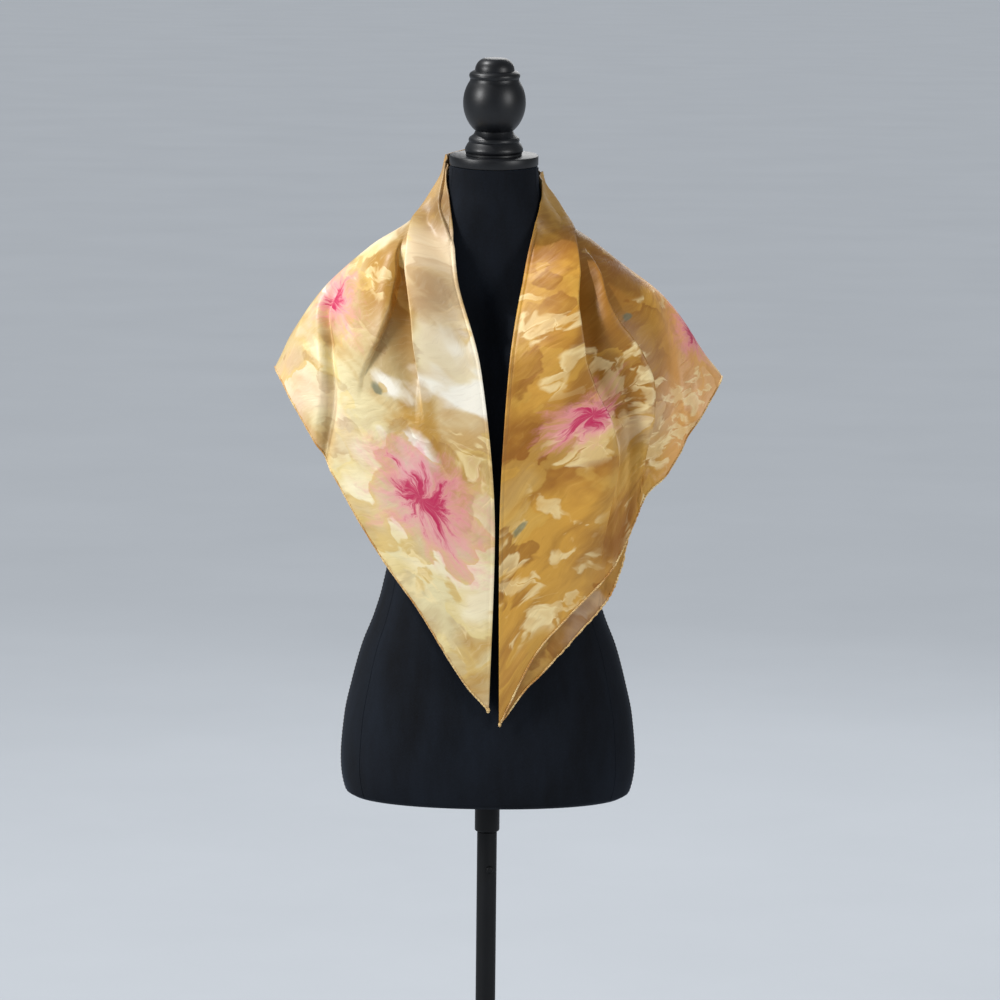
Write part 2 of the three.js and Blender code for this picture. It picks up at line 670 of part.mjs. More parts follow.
const socket = namedMesh("pole_socket", socketGeometry(), "poleMetal");
socket.position.z = torsoBottom - socketLength - partGap;
part.add(socket);
const poleBottom = 2.2 * baseThickness + partGap;
const poleLength = socket.position.z - partGap - poleBottom;
const pole = namedMesh("pole", poleGeometry(poleLength), "poleMetal");
pole.position.z = poleBottom;
part.add(pole);
part.add(namedMesh("stand_base", baseGeometry(), "poleMetal"));

export default part;
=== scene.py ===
"""A square silk scarf, folded corner to corner into two layers and worn over the shoulders of a
limbless velvet dress form on a stand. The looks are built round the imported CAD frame, in metres."""

import logging
import math
from dataclasses import dataclass, field
from enum import Enum

import bpy
import numpy as np
from mathutils import Matrix, Vector


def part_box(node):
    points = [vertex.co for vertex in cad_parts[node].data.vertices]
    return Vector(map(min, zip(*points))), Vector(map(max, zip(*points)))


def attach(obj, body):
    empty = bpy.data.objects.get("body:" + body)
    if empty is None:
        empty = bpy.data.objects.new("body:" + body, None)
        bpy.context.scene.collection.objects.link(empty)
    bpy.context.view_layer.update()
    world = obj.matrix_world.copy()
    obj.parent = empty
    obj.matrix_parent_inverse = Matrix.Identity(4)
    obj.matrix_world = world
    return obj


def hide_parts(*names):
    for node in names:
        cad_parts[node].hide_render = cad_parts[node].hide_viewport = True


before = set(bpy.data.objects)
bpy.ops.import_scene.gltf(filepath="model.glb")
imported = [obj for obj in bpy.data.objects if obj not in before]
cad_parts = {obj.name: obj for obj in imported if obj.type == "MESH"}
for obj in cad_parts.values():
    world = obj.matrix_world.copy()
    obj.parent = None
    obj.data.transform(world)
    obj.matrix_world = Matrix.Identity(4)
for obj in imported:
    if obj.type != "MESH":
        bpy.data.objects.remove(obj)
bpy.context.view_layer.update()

log = logging.getLogger("silk_scarf")
Array = np.ndarray
Piece, Material = bpy.types.Object, bpy.types.Material
Tree, Node, Socket = bpy.types.NodeTree, bpy.types.Node, bpy.types.NodeSocket
MM = 0.001
BODY = "root"
FULL_WIDTH = 380         # millimetres of cloth per turn from which folds have their full size
MERIDIAN = 640           # millimetres of cloth from the neck to the hem, as a round figure
FIRST_SHARE = 0.02       # directions in the cloth are never read nearer the neck than this share


class Slot(Enum):
    """The record's material slots."""

    SILK = "silk"
    SILK_UNDER = "silk_under"
    VELVET = "velvet"
    LACQUER = "lacquered_wood"
    STAND = "stand_metal"


class Layer(Enum):
    """The two layers of the folded square: the side of the fold each lies on."""

    UPPER = 1
    UNDER = -1


def linear(hex_colour: str) -> tuple[float, float, float, float]:
    """Turns an sRGB hex colour to the linear values that shaders take.

    Args:
        hex_colour: the colour as six hex digits.

    Returns:
        Red, green, blue and an alpha of 1.
    """
    parts = [int(hex_colour[i : i + 2], 16) / 255 for i in (0, 2, 4)]
    lit = [p / 12.92 if p <= 0.04045 else ((p + 0.055) / 1.055) ** 2.4 for p in parts]
    return (*lit, 1.0)


def add_node(tree: Tree, kind: str, settings: dict, links: dict | None = None) -> Node:
    """Adds a shader node with its settings and links.

    Args:
        tree: the material's or world's node tree.
        kind: the node's type name, without its ShaderNode prefix.
        settings: attribute names, or input names or numbers, to their values.
        links: input names or numbers to the sockets that feed them.

    Returns:
        The new node.
    """
    node = tree.nodes.new("ShaderNode" + kind)
    for key, value in settings.items():
        if isinstance(key, str) and hasattr(node, key):
            setattr(node, key, value)
        else:
            node.inputs[key].default_value = value
    for key, source in (links or {}).items():
        tree.links.new(source, node.inputs[key])
    return node


def new_material(name: str, constants: dict) -> tuple[Material, Tree, Node]:
    """Makes a material with nodes.

    Args:
        name: the material's name.
        constants: names of the shader's own sockets, and their values.

    Returns:
        The material, its node tree and its Principled shader.
    """
    material = bpy.data.materials.new(name)
    material.use_nodes = True
    shader = material.node_tree.nodes["Principled BSDF"]
    for socket, value in constants.items():
        shader.inputs[socket].default_value = value
    return material, material.node_tree, shader


def add_noise(tree: Tree, at: Socket, scale: float, detail: float, rough: float = 0.5) -> Socket:
    """Adds a noise in space, with its scale in cycles a metre."""
    settings = {"Scale": scale, "Detail": detail, "Roughness": rough}
    return add_node(tree, "TexNoise", settings, {"Vector": at}).outputs[0]


def add_ramp(tree: Tree, value: Socket, low: tuple, high: tuple) -> Socket:
    """Adds a ramp from one colour to another.

    Args:
        tree: the material's node tree.
        value: where the ramp is read.
        low: its first place and the hex colour there.
        high: its last place and the hex colour there.

    Returns:
        The colour.
    """
    ramp = add_node(tree, "ValToRGB", {}, {0: value})
    for stop, (place, colour) in zip(ramp.color_ramp.elements, (low, high)):
        stop.position, stop.color = place, linear(colour)
    return ramp.outputs[0]


def add_bump(tree: Tree, shader: Node, height: Socket, strength: float, distance: float) -> None:
    """Adds a bump to a shader.

    Args:
        tree: the material's node tree.
        shader: the shader that it goes to.
        height: what raises the surface.
        strength: how strong it is, as a share.
        distance: how high it is, in metres.
    """
    bump = add_node(tree, "Bump", {"Strength": strength, "Distance": distance}, {"Height": height})
    tree.links.new(bump.outputs[0], shader.inputs["Normal"])


def smooth(start: float, end: float, value: Array) -> Array:
    """Rises smoothly from 0 at start to 1 at end.

    Args:
        start: where the step begins.
        end: where it is complete.
        value: the places to read it at.

    Returns:
        The step's height at each place.
    """
    t = np.clip((value - start) / (end - start), 0, 1)
    return t * t * (3 - 2 * t)


def read_table(rows: tuple, column: int, places: Array) -> Array:
    """Reads a table's column by a smooth curve that never overshoots its rows.

    Args:
        rows: the table; the first entry of each row is its place.
        column: which entry of each row to read.
        places: where to read it; past the ends the curve goes straight on.

    Returns:
        The values at the places.
    """
    table = np.asarray(rows, float)
    xs, ys = table[:, 0], table[:, column]
    steps = np.diff(xs)
    slopes = np.diff(ys) / steps
    before, after = slopes[:-1], slopes[1:]
    a, b = 2 * steps[1:] + steps[:-1], steps[1:] + 2 * steps[:-1]
    level = before * after <= 0
    safe_before, safe_after = np.where(level, 1, before), np.where(level, 1, after)
    inner = np.where(level, 0, (a + b) / (a / safe_before + b / safe_after))
    tangents = np.concatenate([slopes[:1], inner, slopes[-1:]])
    i = np.clip(np.searchsorted(xs, places) - 1, 0, len(xs) - 2)
    h = steps[i]
    t = (places - xs[i]) / h
    curve = (
        ys[i] * (2 * t**3 - 3 * t**2 + 1)
        + ys[i + 1] * (3 * t**2 - 2 * t**3)
        + h * (tangents[i] * (t**3 - 2 * t**2 + t) + tangents[i + 1] * (t**3 - t**2))
    )
    low = ys[0] + (places - xs[0]) * tangents[0]
    high = ys[-1] + (places - xs[-1]) * tangents[-1]
    return np.where(places <= xs[0], low, np.where(places >= xs[-1], high, curve))


def unit(vectors: Array) -> Array:
    """Vectors of length 1 in the same directions."""
    return vectors / np.maximum(np.linalg.norm(vectors, axis=-1, keepdims=True), 1e-12)


def run_length(line: Array) -> Array:
    """The length along a line of points up to each of them."""
    return np.concatenate([[0], np.cumsum(np.linalg.norm(np.diff(line, axis=0), axis=1))])


@dataclass(frozen=True)
class FormShape:
    """The form's skin, in millimetres: the torso is lofted from it, and the cloth is kept clear of it.

    A section is (up from the bottom edge, half width, reach to the front, reach to the back).
    """

    bottom: float = 550
    neck_top: float = 1310
    neck_back: float = 4
    neck_tilt: float = math.radians(4)
    squareness: float = 2.15
    sections: tuple = (
        (0, 163, 97, 106), (5, 171, 104, 113), (45, 177, 108, 122), (96, 173, 107, 126),
        (139, 164, 104, 121), (183, 152, 100, 108), (219, 138, 95, 95), (253, 128, 91, 85),
        (295, 121, 88, 79), (340, 123, 90, 82), (385, 131, 96, 90), (430, 139, 100, 98),
        (480, 147, 99, 105), (530, 160, 88, 108), (565, 179, 70, 104), (590, 194, 56, 96),
        (603, 192, 50, 89), (620, 175, 49, 82), (644, 145, 50, 75), (669, 112, 51, 69),
        (690, 82, 51, 64), (715, 62, 50, 60), (735, 54, 48, 57), (760, 52, 48, 56),
    )
    bust_across: float = 74
    bust_up: float = 458
    bust_forward: float = 27
    bust_spread: tuple = (44, 58)
    clear_above_neck: float = 40
    push_passes: int = 5

    def radius(self, angle: Array, z: Array) -> Array:
        """How far the skin lies from the form's axis.

        Args:
            angle: directions seen from above, in radians.
            z: heights.

        Returns:
            The distances from the axis.
        """
        up = z - self.bottom
        across, back = np.cos(angle), np.sin(angle)
        half_width = read_table(self.sections, 1, up)
        depth = np.where(back < 0, read_table(self.sections, 2, up), read_table(self.sections, 3, up))
        n = self.squareness
        plain = (np.abs(across / half_width) ** n + np.abs(back / depth) ** n) ** (-1 / n)
        sideways = (np.abs(plain * across) - self.bust_across) / self.bust_spread[0]
        upward = (up - self.bust_up) / self.bust_spread[1]
        bust = self.bust_forward * -back * np.exp(-(sideways**2) - upward**2)
        return np.where(back < 0, plain + bust, plain)

    def slant(self, y: Array, z: Array) -> Array:
        """How far the slanted cut of the neck lifts a point."""
        near_cut = smooth(self.neck_top - 60, self.neck_top, z)
        return near_cut * (y - self.neck_back) * math.tan(self.neck_tilt)

    def push_out(self, points: Array, clearance: Array) -> Array:
        """Moves points out of the form, along its skin, until they clear it.

        Args:
            points: the points to move.
            clearance: how far from the skin each has to lie.

        Returns:
            The moved points.
        """
        points = points.copy()
        up, about = 2, 0.02
        for _ in range(self.push_passes):
            angle = np.arctan2(points[..., 1], points[..., 0])
            z = points[..., 2] - self.slant(points[..., 1], points[..., 2])
            radius = self.radius(angle, z)
            rise = (self.radius(angle, z + up) - self.radius(angle, z - up)) / (2 * up)
            turn = (self.radius(angle + about, z) - self.radius(angle - about, z)) / (2 * about) / radius
            steep = np.sqrt(1 + rise**2 + turn**2)
            distance = (np.hypot(points[..., 0], points[..., 1]) - radius) / steep
            short = (distance < clearance) & (z < self.neck_top + self.clear_above_neck)
            move = np.where(short, (clearance - distance) / steep, 0)
            points[..., 0] += move * (np.cos(angle) + turn * np.sin(angle))
            points[..., 1] += move * (np.sin(angle) - turn * np.cos(angle))
            points[..., 2] -= move * rise
        return points


@dataclass(frozen=True)
class Fold:
    """One fold of the cloth, in millimetres across it.

    Its line runs through its turns (0 at the front edge, 0.5 over the shoulder, 1 at the middle of
    the back) at the given shares of the way from neck to hem. It slopes up over rise and down over
    fall, and its crest hangs over by lean towards the way it faces.
    """

    name: str
    height: float
    lean: float
    rise: float
    fall: float
    start: float
    growth: float
    end: float
    line: tuple
    facing: int = 1
    fade: float = 0.22

    @property
    def detail(self) -> float:
        """How much closer the mesh's columns stand at it: most at a sharp fold, least at a soft one."""
        return 6.0 if self.lean else 2.5 if self.height < 0 else 0.8

    def turn_at(self, along: Array) -> Array:
        """The fold line's turn at each share of the way to the hem."""
        return read_table(self.line, 1, along)

    def shift(self, turn: Array, along: Array, width: Array) -> tuple:
        """How far the fold carries points out of the cloth and along its ring.

        Args:
            turn: how far round each point is.
            along: its share of the way to the hem.
            width: the ring's length per turn there, in millimetres.

        Returns:
            The moves outward and along the ring.
        """
        strength = smooth(self.start, self.start + self.growth, along)
        strength = strength * (1 - smooth(self.end - self.fade, self.end, along))
        scale = np.minimum(1, width / FULL_WIDTH)
        distance = self.facing * (turn - self.turn_at(along)) * width / scale
        rising = smooth(-self.rise, 0, distance)
        fallen = smooth(0, self.fall, distance)
        recovered = smooth(self.fall, 3 * self.fall, distance)
        out = scale * strength * self.height * rising * (1 - fallen)
        lean = scale * strength * self.lean * (rising - 2 * fallen + recovered)
        return out, self.facing * lean


def fold_line(at: tuple, turns: tuple) -> tuple:
    """Pairs of place and turn for a fold's line."""
    return tuple(zip(at, turns))


BACK_FOLDS = (
    Fold("blade_fold", 10, 0, 28, 24, 0.3, 0.3, 1.3, fold_line((0, 0.4, 1), (0.6, 0.62, 0.66))),
    Fold("spine_fold", 13, 0, 34, 28, 0.15, 0.3, 1.3, fold_line((0, 0.4, 1), (0.78, 0.8, 0.84))),
)
RIGHT_FOLDS = (
    Fold("collar_overlap", 14, 4, 60, 6, -0.2, 0.1, 0.24,
         fold_line((0, 0.03, 0.07, 0.12, 0.2), (0.14, 0.14, 0.13, 0.07, 0.0)), facing=-1, fade=0.14),
    Fold("band_roll", 24, 9, 60, 9, -0.05, 0.24, 0.68,
         fold_line((0, 0.07, 0.13, 0.2, 0.28, 0.4, 0.5, 0.6, 1),
                   (0.5, 0.45, 0.33, 0.215, 0.157, 0.126, 0.114, 0.112, 0.1))),
    Fold("band_hollow", -15, 0, 9, 40, 0.22, 0.12, 0.7,
         fold_line((0, 0.12, 0.2, 0.28, 0.4, 0.5, 0.6, 1),
                   (0.4, 0.36, 0.24, 0.182, 0.15, 0.136, 0.132, 0.13))),
    Fold("shoulder_overlap", 13, 4, 50, 9, 0.18, 0.14, 0.74,
         fold_line((0, 0.12, 0.22, 0.28, 0.35, 0.44, 0.53, 0.62, 0.67, 1),
                   (0.5, 0.45, 0.3, 0.25, 0.214, 0.202, 0.212, 0.2325, 0.24, 0.235)), facing=-1),
    Fold("arm_crease", -13, 0, 16, 24, 0.34, 0.16, 1.1,
         fold_line((0, 0.12, 0.22, 0.5, 0.66, 0.8, 0.93, 1),
                   (0.56, 0.51, 0.45, 0.41, 0.3275, 0.292, 0.285, 0.28)),
         facing=-1),
)
LEFT_FOLDS = (
    Fold("band_roll", 22, 8, 80, 9, -0.1, 0.25, 0.99,
         fold_line((0, 0.07, 0.13, 0.22, 0.33, 0.43, 0.53, 0.61, 0.72, 0.79, 0.865, 1),
                   (0.5, 0.45, 0.33, 0.194, 0.148, 0.132, 0.133, 0.147, 0.174, 0.178, 0.163, 0.14))),
    Fold("band_hollow", -10, 0, 8, 26, 0.24, 0.14, 0.9,
         fold_line((0, 0.12, 0.22, 0.33, 0.43, 0.53, 0.61, 0.72, 0.79, 0.865, 1),
                   (0.4, 0.36, 0.222, 0.175, 0.158, 0.157, 0.17, 0.196, 0.2, 0.185, 0.165))),
    Fold("pouch_edge", 16, 6, 34, 10, 0.18, 0.16, 1.02,
         fold_line((0, 0.12, 0.22, 0.33, 0.43, 0.5, 0.545, 0.63, 0.7, 0.785, 0.865, 1),
                   (0.5, 0.44, 0.288, 0.228, 0.212, 0.222, 0.236, 0.255, 0.262, 0.248, 0.23, 0.207))),
    Fold("arm_crease", -6, 0, 24, 28, 0.44, 0.16, 1.2,
         fold_line((0, 0.12, 0.25, 0.5, 0.75, 1), (0.57, 0.52, 0.46, 0.43, 0.36, 0.32))),
)


@dataclass(frozen=True)
class Gather:
    """A patch of small wrinkles square to the hem.

    Each range is a middle and a spread, in turns and in shares of the way to the hem.
    """

    height: float
    spacing: float
    turns: tuple
    shares: tuple

    def shift(self, turn: Array, along: Array, width: Array) -> Array:
        """How far the wrinkles carry points out of the cloth.

        Args:
            turn: how far round each point is.
            along: its share of the way to the hem.
            width: the ring's length per turn there, in millimetres.

        Returns:
            The moves outward, in millimetres.
        """
        place = turn * width
        wave = np.sin(2 * np.pi * place / self.spacing + 1.7 * np.sin(place / (2.3 * self.spacing)))
        window = np.exp(-(((turn - self.turns[0]) / self.turns[1]) ** 2))
        reach = np.exp(-(((along - self.shares[0]) / self.shares[1]) ** 2))
        return self.height * wave * window * reach


@dataclass(frozen=True)
class HalfDrape:
    """One half of the scarf, from its front edge over the shoulder to the middle of the back.

    A ring is (share of the way to the hem, front x, y, z, side x, y, z, back y, z), in
    millimetres. The sag rows are (turn, rise of the front hem).
    """

    side: int
    rings: tuple
    hem_sag: tuple
    folds: tuple
    gathers: tuple
    clearance: float = 2.6
    shoulder_extra: float = 2.6
    front_clearance: float = 4.2
    columns_tried: int = 900

    def smooth_points(self, turn: Array, along: Array) -> Array:
        """The cloth without its folds.

        Args:
            turn: how far round each point is.
            along: its share of the way from the neck to the hem.

        Returns:
            The points, in millimetres.
        """
        front_x, front_y, front_z, side_x, side_y, side_z, back_y, back_z = (
            read_table(self.rings, column, along) for column in range(1, 9)
        )
        sine, cosine = np.sin(np.pi * turn), np.cos(np.pi * turn)
        front = cosine > 0
        sag = read_table(self.hem_sag, 1, np.clip(turn, 0, 0.4)) * smooth(0.55, 1, along)
        x = np.where(front, front_x + (side_x - front_x) * sine, side_x * sine)
        rounded = np.where(front, smooth(0, 0.3, along), 1)
        reach = rounded * np.abs(cosine) + (1 - rounded) * (1 - sine)
        y = side_y + (np.where(front, front_y, back_y) - side_y) * reach
        z = side_z + (np.where(front, front_z, back_z) - side_z) * (1 - sine)
        return np.stack([x, y, z + np.where(front, sag, 0)], axis=-1)

    def directions(self, turn: Array, along: Array) -> tuple:
        """The cloth's own directions, without its folds.

        Args:
            turn: how far round each point is.
            along: its share of the way to the hem.

        Returns:
            Unit directions along the ring and out of the cloth, and the ring's length per turn.
        """
        small = 0.004
        ring = self.smooth_points(turn + small, along) - self.smooth_points(turn - small, along)
        down = self.smooth_points(turn, along + small) - self.smooth_points(turn, along - small)
        width = np.linalg.norm(ring, axis=-1) / (2 * small)
        return unit(ring), unit(-self.side * np.cross(ring, down)), width

    def column_turns(self, along: Array, columns: int) -> Array:
        """Turns of the mesh's columns, close together round each fold and at the front edge.

        Args:
            along: the rows' shares of the way to the hem.
            columns: how many columns the half has.

        Returns:
            A row of turns from 0 to 1 for each share.
        """
        fine = np.linspace(0, 1, self.columns_tried)
        turn, share = np.meshgrid(fine, along)
        _, _, width = self.directions(turn, np.maximum(FIRST_SHARE, share))
        width = np.maximum(width, FULL_WIDTH)
        # Sparser over the back, and closer within 7 mm of the front edge and 9 mm of a fold.
        on_back, at_edge = smooth(0.5, 0.62, turn), np.exp(-((turn * width / 7) ** 2))
        density = 1.0 - 0.45 * on_back + 3.5 * at_edge
        for fold in self.folds:
            distance = (turn - fold.turn_at(share) - fold.facing * 4 / width) * width
            density = density + fold.detail * np.exp(-((distance / 9) ** 2))
        for gather in self.gathers:
            middle, spread = gather.turns
            density = density + 1.6 * np.exp(-(((turn - middle) / (1.2 * spread)) ** 2))
        total = np.cumsum((density[:, 1:] + density[:, :-1]) / 2, axis=1)
        total = np.concatenate([np.zeros((len(along), 1)), total], axis=1)
        wanted = np.linspace(0, 1, columns)
        return np.array([np.interp(wanted * row[-1], row, fine) for row in total])

    def points(self, turn: Array, along: Array, drop: Array, form: FormShape) -> Array:
        """The draped cloth with its folds, clear of the form.

        Args:
            turn: how far round each point is.
            along: its share of the way to the hem.
            drop: how far past that the cloth hangs on, as a share of the way.
            form: the form it hangs over.

        Returns:
            The points, in millimetres.
        """
        reach = along + drop
        ring, outward, width = self.directions(turn, np.maximum(FIRST_SHARE, reach))
        out_of, round_by = np.zeros_like(reach), np.zeros_like(reach)
        for fold in self.folds:
            out, lean = fold.shift(turn, reach, width)
            out_of, round_by = out_of + out, round_by + lean
        for gather in self.gathers:
            out_of = out_of + gather.shift(turn, reach, width)
        # The fold edge is a small roll, 1.4 mm in, with a groove behind it, 4 mm in.
        edge = turn * np.maximum(width, 1)
        roll = 0.6 * np.exp(-(((edge - 1.4) / 1.3) ** 2))
        groove = 0.7 * np.exp(-(((edge - 4) / 1.0) ** 2))
        out_of = out_of + smooth(0.04, 0.12, along) * (roll - groove)
        out_of = out_of + self.slack(turn, reach, width)
        points = self.smooth_points(turn, reach)
        points = points + out_of[..., None] * outward + round_by[..., None] * ring
        on_shoulder = smooth(0, 0.1, along) * (1 - smooth(0.26, 0.42, along))
        plain = self.clearance + self.shoulder_extra * on_shoulder
        at_front = self.front_clearance + (plain - self.front_clearance) * smooth(0, 0.12, turn)
        return form.push_out(points, np.maximum(plain, at_front))

    def fallen(self, turn: float, along: Array) -> Array:
        """How far down the cloth itself each place lies, as a share of its length from neck to hem.

        Args:
            turn: how far round the line down the cloth is.
            along: places between the rings, from the neck to the hem.

        Returns:
            The shares, shaped as a last axis of one.
        """
        fine = np.linspace(0, 1.2, 241)
        line = self.smooth_points(np.full_like(fine, turn), fine)
        length = run_length(line)
        return np.interp(along, fine, length / np.interp(1, fine, length))[..., None]

    def slack(self, turn: Array, along: Array, width: Array) -> Array:
        """The soft unevenness of hanging silk, out of the cloth, with waves in millimetres.

        Args:
            turn: how far round each point is.
            along: its share of the way to the hem.
            width: the ring's length per turn there.

        Returns:
            The moves outward.
        """
        across, down = turn * width, along * MERIDIAN
        free = smooth(0.3, 0.8, along)
        soft = np.sin(across / 31 + 1.3 * np.sin(down / 83) + self.side) * np.sin(down / 120 + across / 210)
        fine = np.sin(across / 13 + 0.6 * np.sin(down / 47)) * np.sin(down / 160 + 2 * self.side)
        at_hem = smooth(0.93, 1, along) * (np.sin(across / 4.1 + 2 * np.sin(across / 17)) * 0.35)
        return free * (1.5 * soft + 0.45 * fine) + at_hem


@dataclass
class ScarfDrape:
    """The whole folded square over the shoulders: its middle surface and where each point was cut."""

    form: FormShape = field(default_factory=FormShape)
    square_side: float = 1.10
    neckline_half: float = 0.09
    hem_side_share: float = 0.46
    row_crowding: float = 0.06
    right: HalfDrape = HalfDrape(
        side=-1,
        rings=(
            (0, -54, 2, 1303, -56.5, 24, 1320, 62, 1332),
            (0.03, -54.5, -15, 1286, -62, 20, 1299, 65, 1312),
            (0.06, -53, -31, 1272, -71, 18, 1281, 68, 1294),
            (0.12, -49, -47.5, 1246, -89, 14, 1251, 74, 1262),
            (0.28, -42.5, -75, 1184, -145, 7, 1212, 95, 1190),
            (0.5, -13, -116, 1076, -205, 4, 1156, 118, 1070),
            (0.75, 5, -127, 880, -237, 2, 1106, 122, 850),
            (1, 0, -118, 674, -258, 0, 1066, 136, 575),
        ),
        hem_sag=((0, 0), (0.04, -12), (0.1, -8), (0.17, -15), (0.26, -8), (0.4, 0)),
        folds=RIGHT_FOLDS + BACK_FOLDS,
        gathers=(),
    )
    left: HalfDrape = HalfDrape(
        side=1,
        rings=(
            (0, 53.5, 0, 1292, 56, 24, 1300, 62, 1332),
            (0.03, 55.5, -15, 1277, 61.5, 20, 1287, 65, 1312),
            (0.06, 54.5, -30, 1265, 71, 18, 1273, 68, 1294),
            (0.12, 50, -46.5, 1244, 87, 14, 1245, 74, 1262),
            (0.28, 37, -75, 1186, 145, 7, 1200, 95, 1190),
            (0.5, 21, -117, 1076, 205, 4, 1154, 118, 1070),
            (0.75, 12, -128, 880, 246, 2, 1100, 122, 850),
            (1, 14, -119, 657, 275, 0, 1060, 136, 575),
        ),
        hem_sag=((0, 0), (0.05, 21), (0.1, 6), (0.17, -17), (0.225, 9), (0.27, -5), (0.4, 0)),
        folds=LEFT_FOLDS + BACK_FOLDS,
        gathers=(
            Gather(1.0, 9, (0.225, 0.035), (0.93, 0.08)),
            Gather(0.8, 13, (0.1, 0.08), (1.06, 0.035)),
        ),
    )
    under_hem_shown: tuple = (
        (0, 0), (0.03, 14), (0.062, 29), (0.12, 32), (0.155, 31), (0.18, 20), (0.195, 0), (0.3, -4),
    )
    under_hem_hidden: float = -4.0

    @property
    def reach(self) -> float:
        """Half the fold edge's length, which is the folded square's height too."""
        return self.square_side / math.sqrt(2)

    def half_grid(self, half: HalfDrape, along: Array, columns: int, drop_hem: bool) -> tuple:
        """One half of the middle surface, from its front edge to the middle of the back.

        Args:
            half: the half to draw.
            along: the rows' shares of the way to the hem.
            columns: how many columns it has.
            drop_hem: whether it is for the under layer, whose hem shows on the wearer's left.

        Returns:
            The points in millimetres, their turns and their shares of the way to the hem.
        """
        turn = half.column_turns(along, columns)
        share = np.broadcast_to(along[:, None], turn.shape)
        drop = np.zeros_like(turn)
        if drop_hem:
            shown = self.under_hem_hidden
            if half.side > 0:
                shown = read_table(self.under_hem_shown, 1, np.clip(turn, 0, 0.3))
            drop = shown / MERIDIAN * smooth(0.8, 1, share)
        return half.points(turn, share, drop, self.form), turn, share + drop

    def flat_place(self, half: HalfDrape, turn: Array, along: Array) -> Array:
        """Where a point of the right half, or its mirror image, lies on the square before it was hung.

        Args:
            half: the half that it belongs to.
            turn: how far round each point is.
            along: its share of the way to the hem.

        Returns:
            Metres along the fold line from its middle and metres away from it.
        """
        reach, share = self.reach, self.hem_side_share
        lines = np.array([
            [[-self.neckline_half, 0.0], [-reach, 0.0]],
            [[-self.neckline_half / 2, 0.0], [-reach * (1 - share), reach * share]],
            [[0.0, 0.0], [0.0, reach]],
        ])
        front, side, back = (
            neck + (hem - neck) * half.fallen(at, along) for at, (neck, hem) in zip((0.0, 0.5, 1.0), lines)
        )
        to_side, to_back = np.clip(2 * turn, 0, 1)[..., None], np.clip(2 * turn - 1, 0, 1)[..., None]
        return front + (side - front) * to_side + (back - side) * to_back

    def grid(self, rows: int, columns: int, layer: Layer) -> tuple[Array, Array]:
        """The middle surface between the layers, from the right front edge round to the left one.

        Args:
            rows: how many rows lie between the neck and the hem.
            columns: how many columns each half has.
            layer: the layer that it is for, because the under layer's hem hangs lower.

        Returns:
            The points in metres, and their places on the flat square as UVs from 0 to 1.
        """
        even = np.linspace(0, 1, rows)
        # The rows stand a little closer at the neck and at the hem.
        along = even - self.row_crowding * np.sin(2 * np.pi * even) / (2 * np.pi) * 2
        drop_hem = layer is Layer.UNDER
        right, right_turn, right_share = self.half_grid(self.right, along, columns, drop_hem)
        left, left_turn, left_share = self.half_grid(self.left, along, columns, drop_hem)
        points = np.concatenate([right, left[:, ::-1][:, 1:]], axis=1) * MM
        flat_right = self.flat_place(self.right, right_turn, right_share)
        flat_left = self.flat_place(self.left, left_turn, left_share) * np.array([-1, 1])
        flat = np.concatenate([flat_right, flat_left[:, ::-1][:, 1:]], axis=1)
        along_fold, away = flat[..., 0] + self.reach, layer.value * flat[..., 1]
        span = math.sqrt(2) * self.square_side
        uv = np.stack([(along_fold - away) / span, (along_fold + away) / span], axis=-1)
        return points, uv


def grid_normals(grid: Array) -> Array:
    """Unit directions out of a grid of points, at each of them.

    Args:
        grid: the points, row by row.

    Returns:
        The directions, in the grid's shape.
    """
    down = np.gradient(grid, axis=0)
    across = np.gradient(grid, axis=1)
    return unit(np.cross(across, down))


def grid_faces(rows: int, columns: int) -> Array:
    """The quads of a grid of points that is stored row by row.

    Args:
        rows: how many rows it has.
        columns: how many columns it has.

    Returns:
        Four vertex numbers for each quad.
    """
    r, c = np.meshgrid(np.arange(rows - 1), np.arange(columns - 1), indexing="ij")
    a = (r * columns + c).ravel()
    return np.stack([a, a + columns, a + columns + 1, a + 1], axis=1)


def new_piece(name: str, points: Array, faces: list, uvs: Array | None = None) -> Piece:
    """Makes a smooth-shaded mesh object at the origin.

    Args:
        name: the piece's name.
        points: its vertices, in metres.
        faces: its faces, as vertex numbers.
        uvs: a UV for each vertex, or None.

    Returns:
        The new object.
    """
    mesh = bpy.data.meshes.new(name)
    mesh.from_pydata(points.tolist(), [], faces)
    if uvs is not None:
        layer = mesh.uv_layers.new(name="cut")
        corners = np.empty(len(mesh.loops), int)
        mesh.loops.foreach_get("vertex_index", corners)
        layer.data.foreach_set("uv", uvs[corners].ravel())
    piece = bpy.data.objects.new(name, mesh)
    bpy.context.collection.objects.link(piece)
    mesh.shade_smooth()
    mesh.update()
    return piece


def only(piece: Piece) -> None:
    """Makes a piece the one selected and active object.

    Args:
        piece: the piece.
    """
    bpy.ops.object.select_all(action="DESELECT")
    piece.select_set(True)
    bpy.context.view_layer.objects.active = piece


def finish_with(piece: Piece, kind: str, **settings: float) -> None:
    """Adds a modifier and applies it.

    Args:
        piece: the piece to finish.
        kind: the modifier's type.
        settings: its settings.
    """
    only(piece)
    modifier = piece.modifiers.new(kind.lower(), kind)
    for key, value in settings.items():
        setattr(modifier, key, value)
    bpy.ops.object.modifier_apply(modifier=modifier.name)


def dress(piece: Piece, material: Material, slot: Slot, *nodes: str) -> None:
    """Gives a piece its material and body, and hides the CAD nodes that it stands for.

    Args:
        piece: the finished piece.
        material: its material.
        slot: not used.
        nodes: the CAD nodes that it replaces.
    """
    piece.data.materials.clear()
    piece.data.materials.append(material)
    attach(piece, BODY)
    if nodes:
        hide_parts(*nodes)
    log.info("%s: %d faces", piece.name, len(piece.data.polygons))


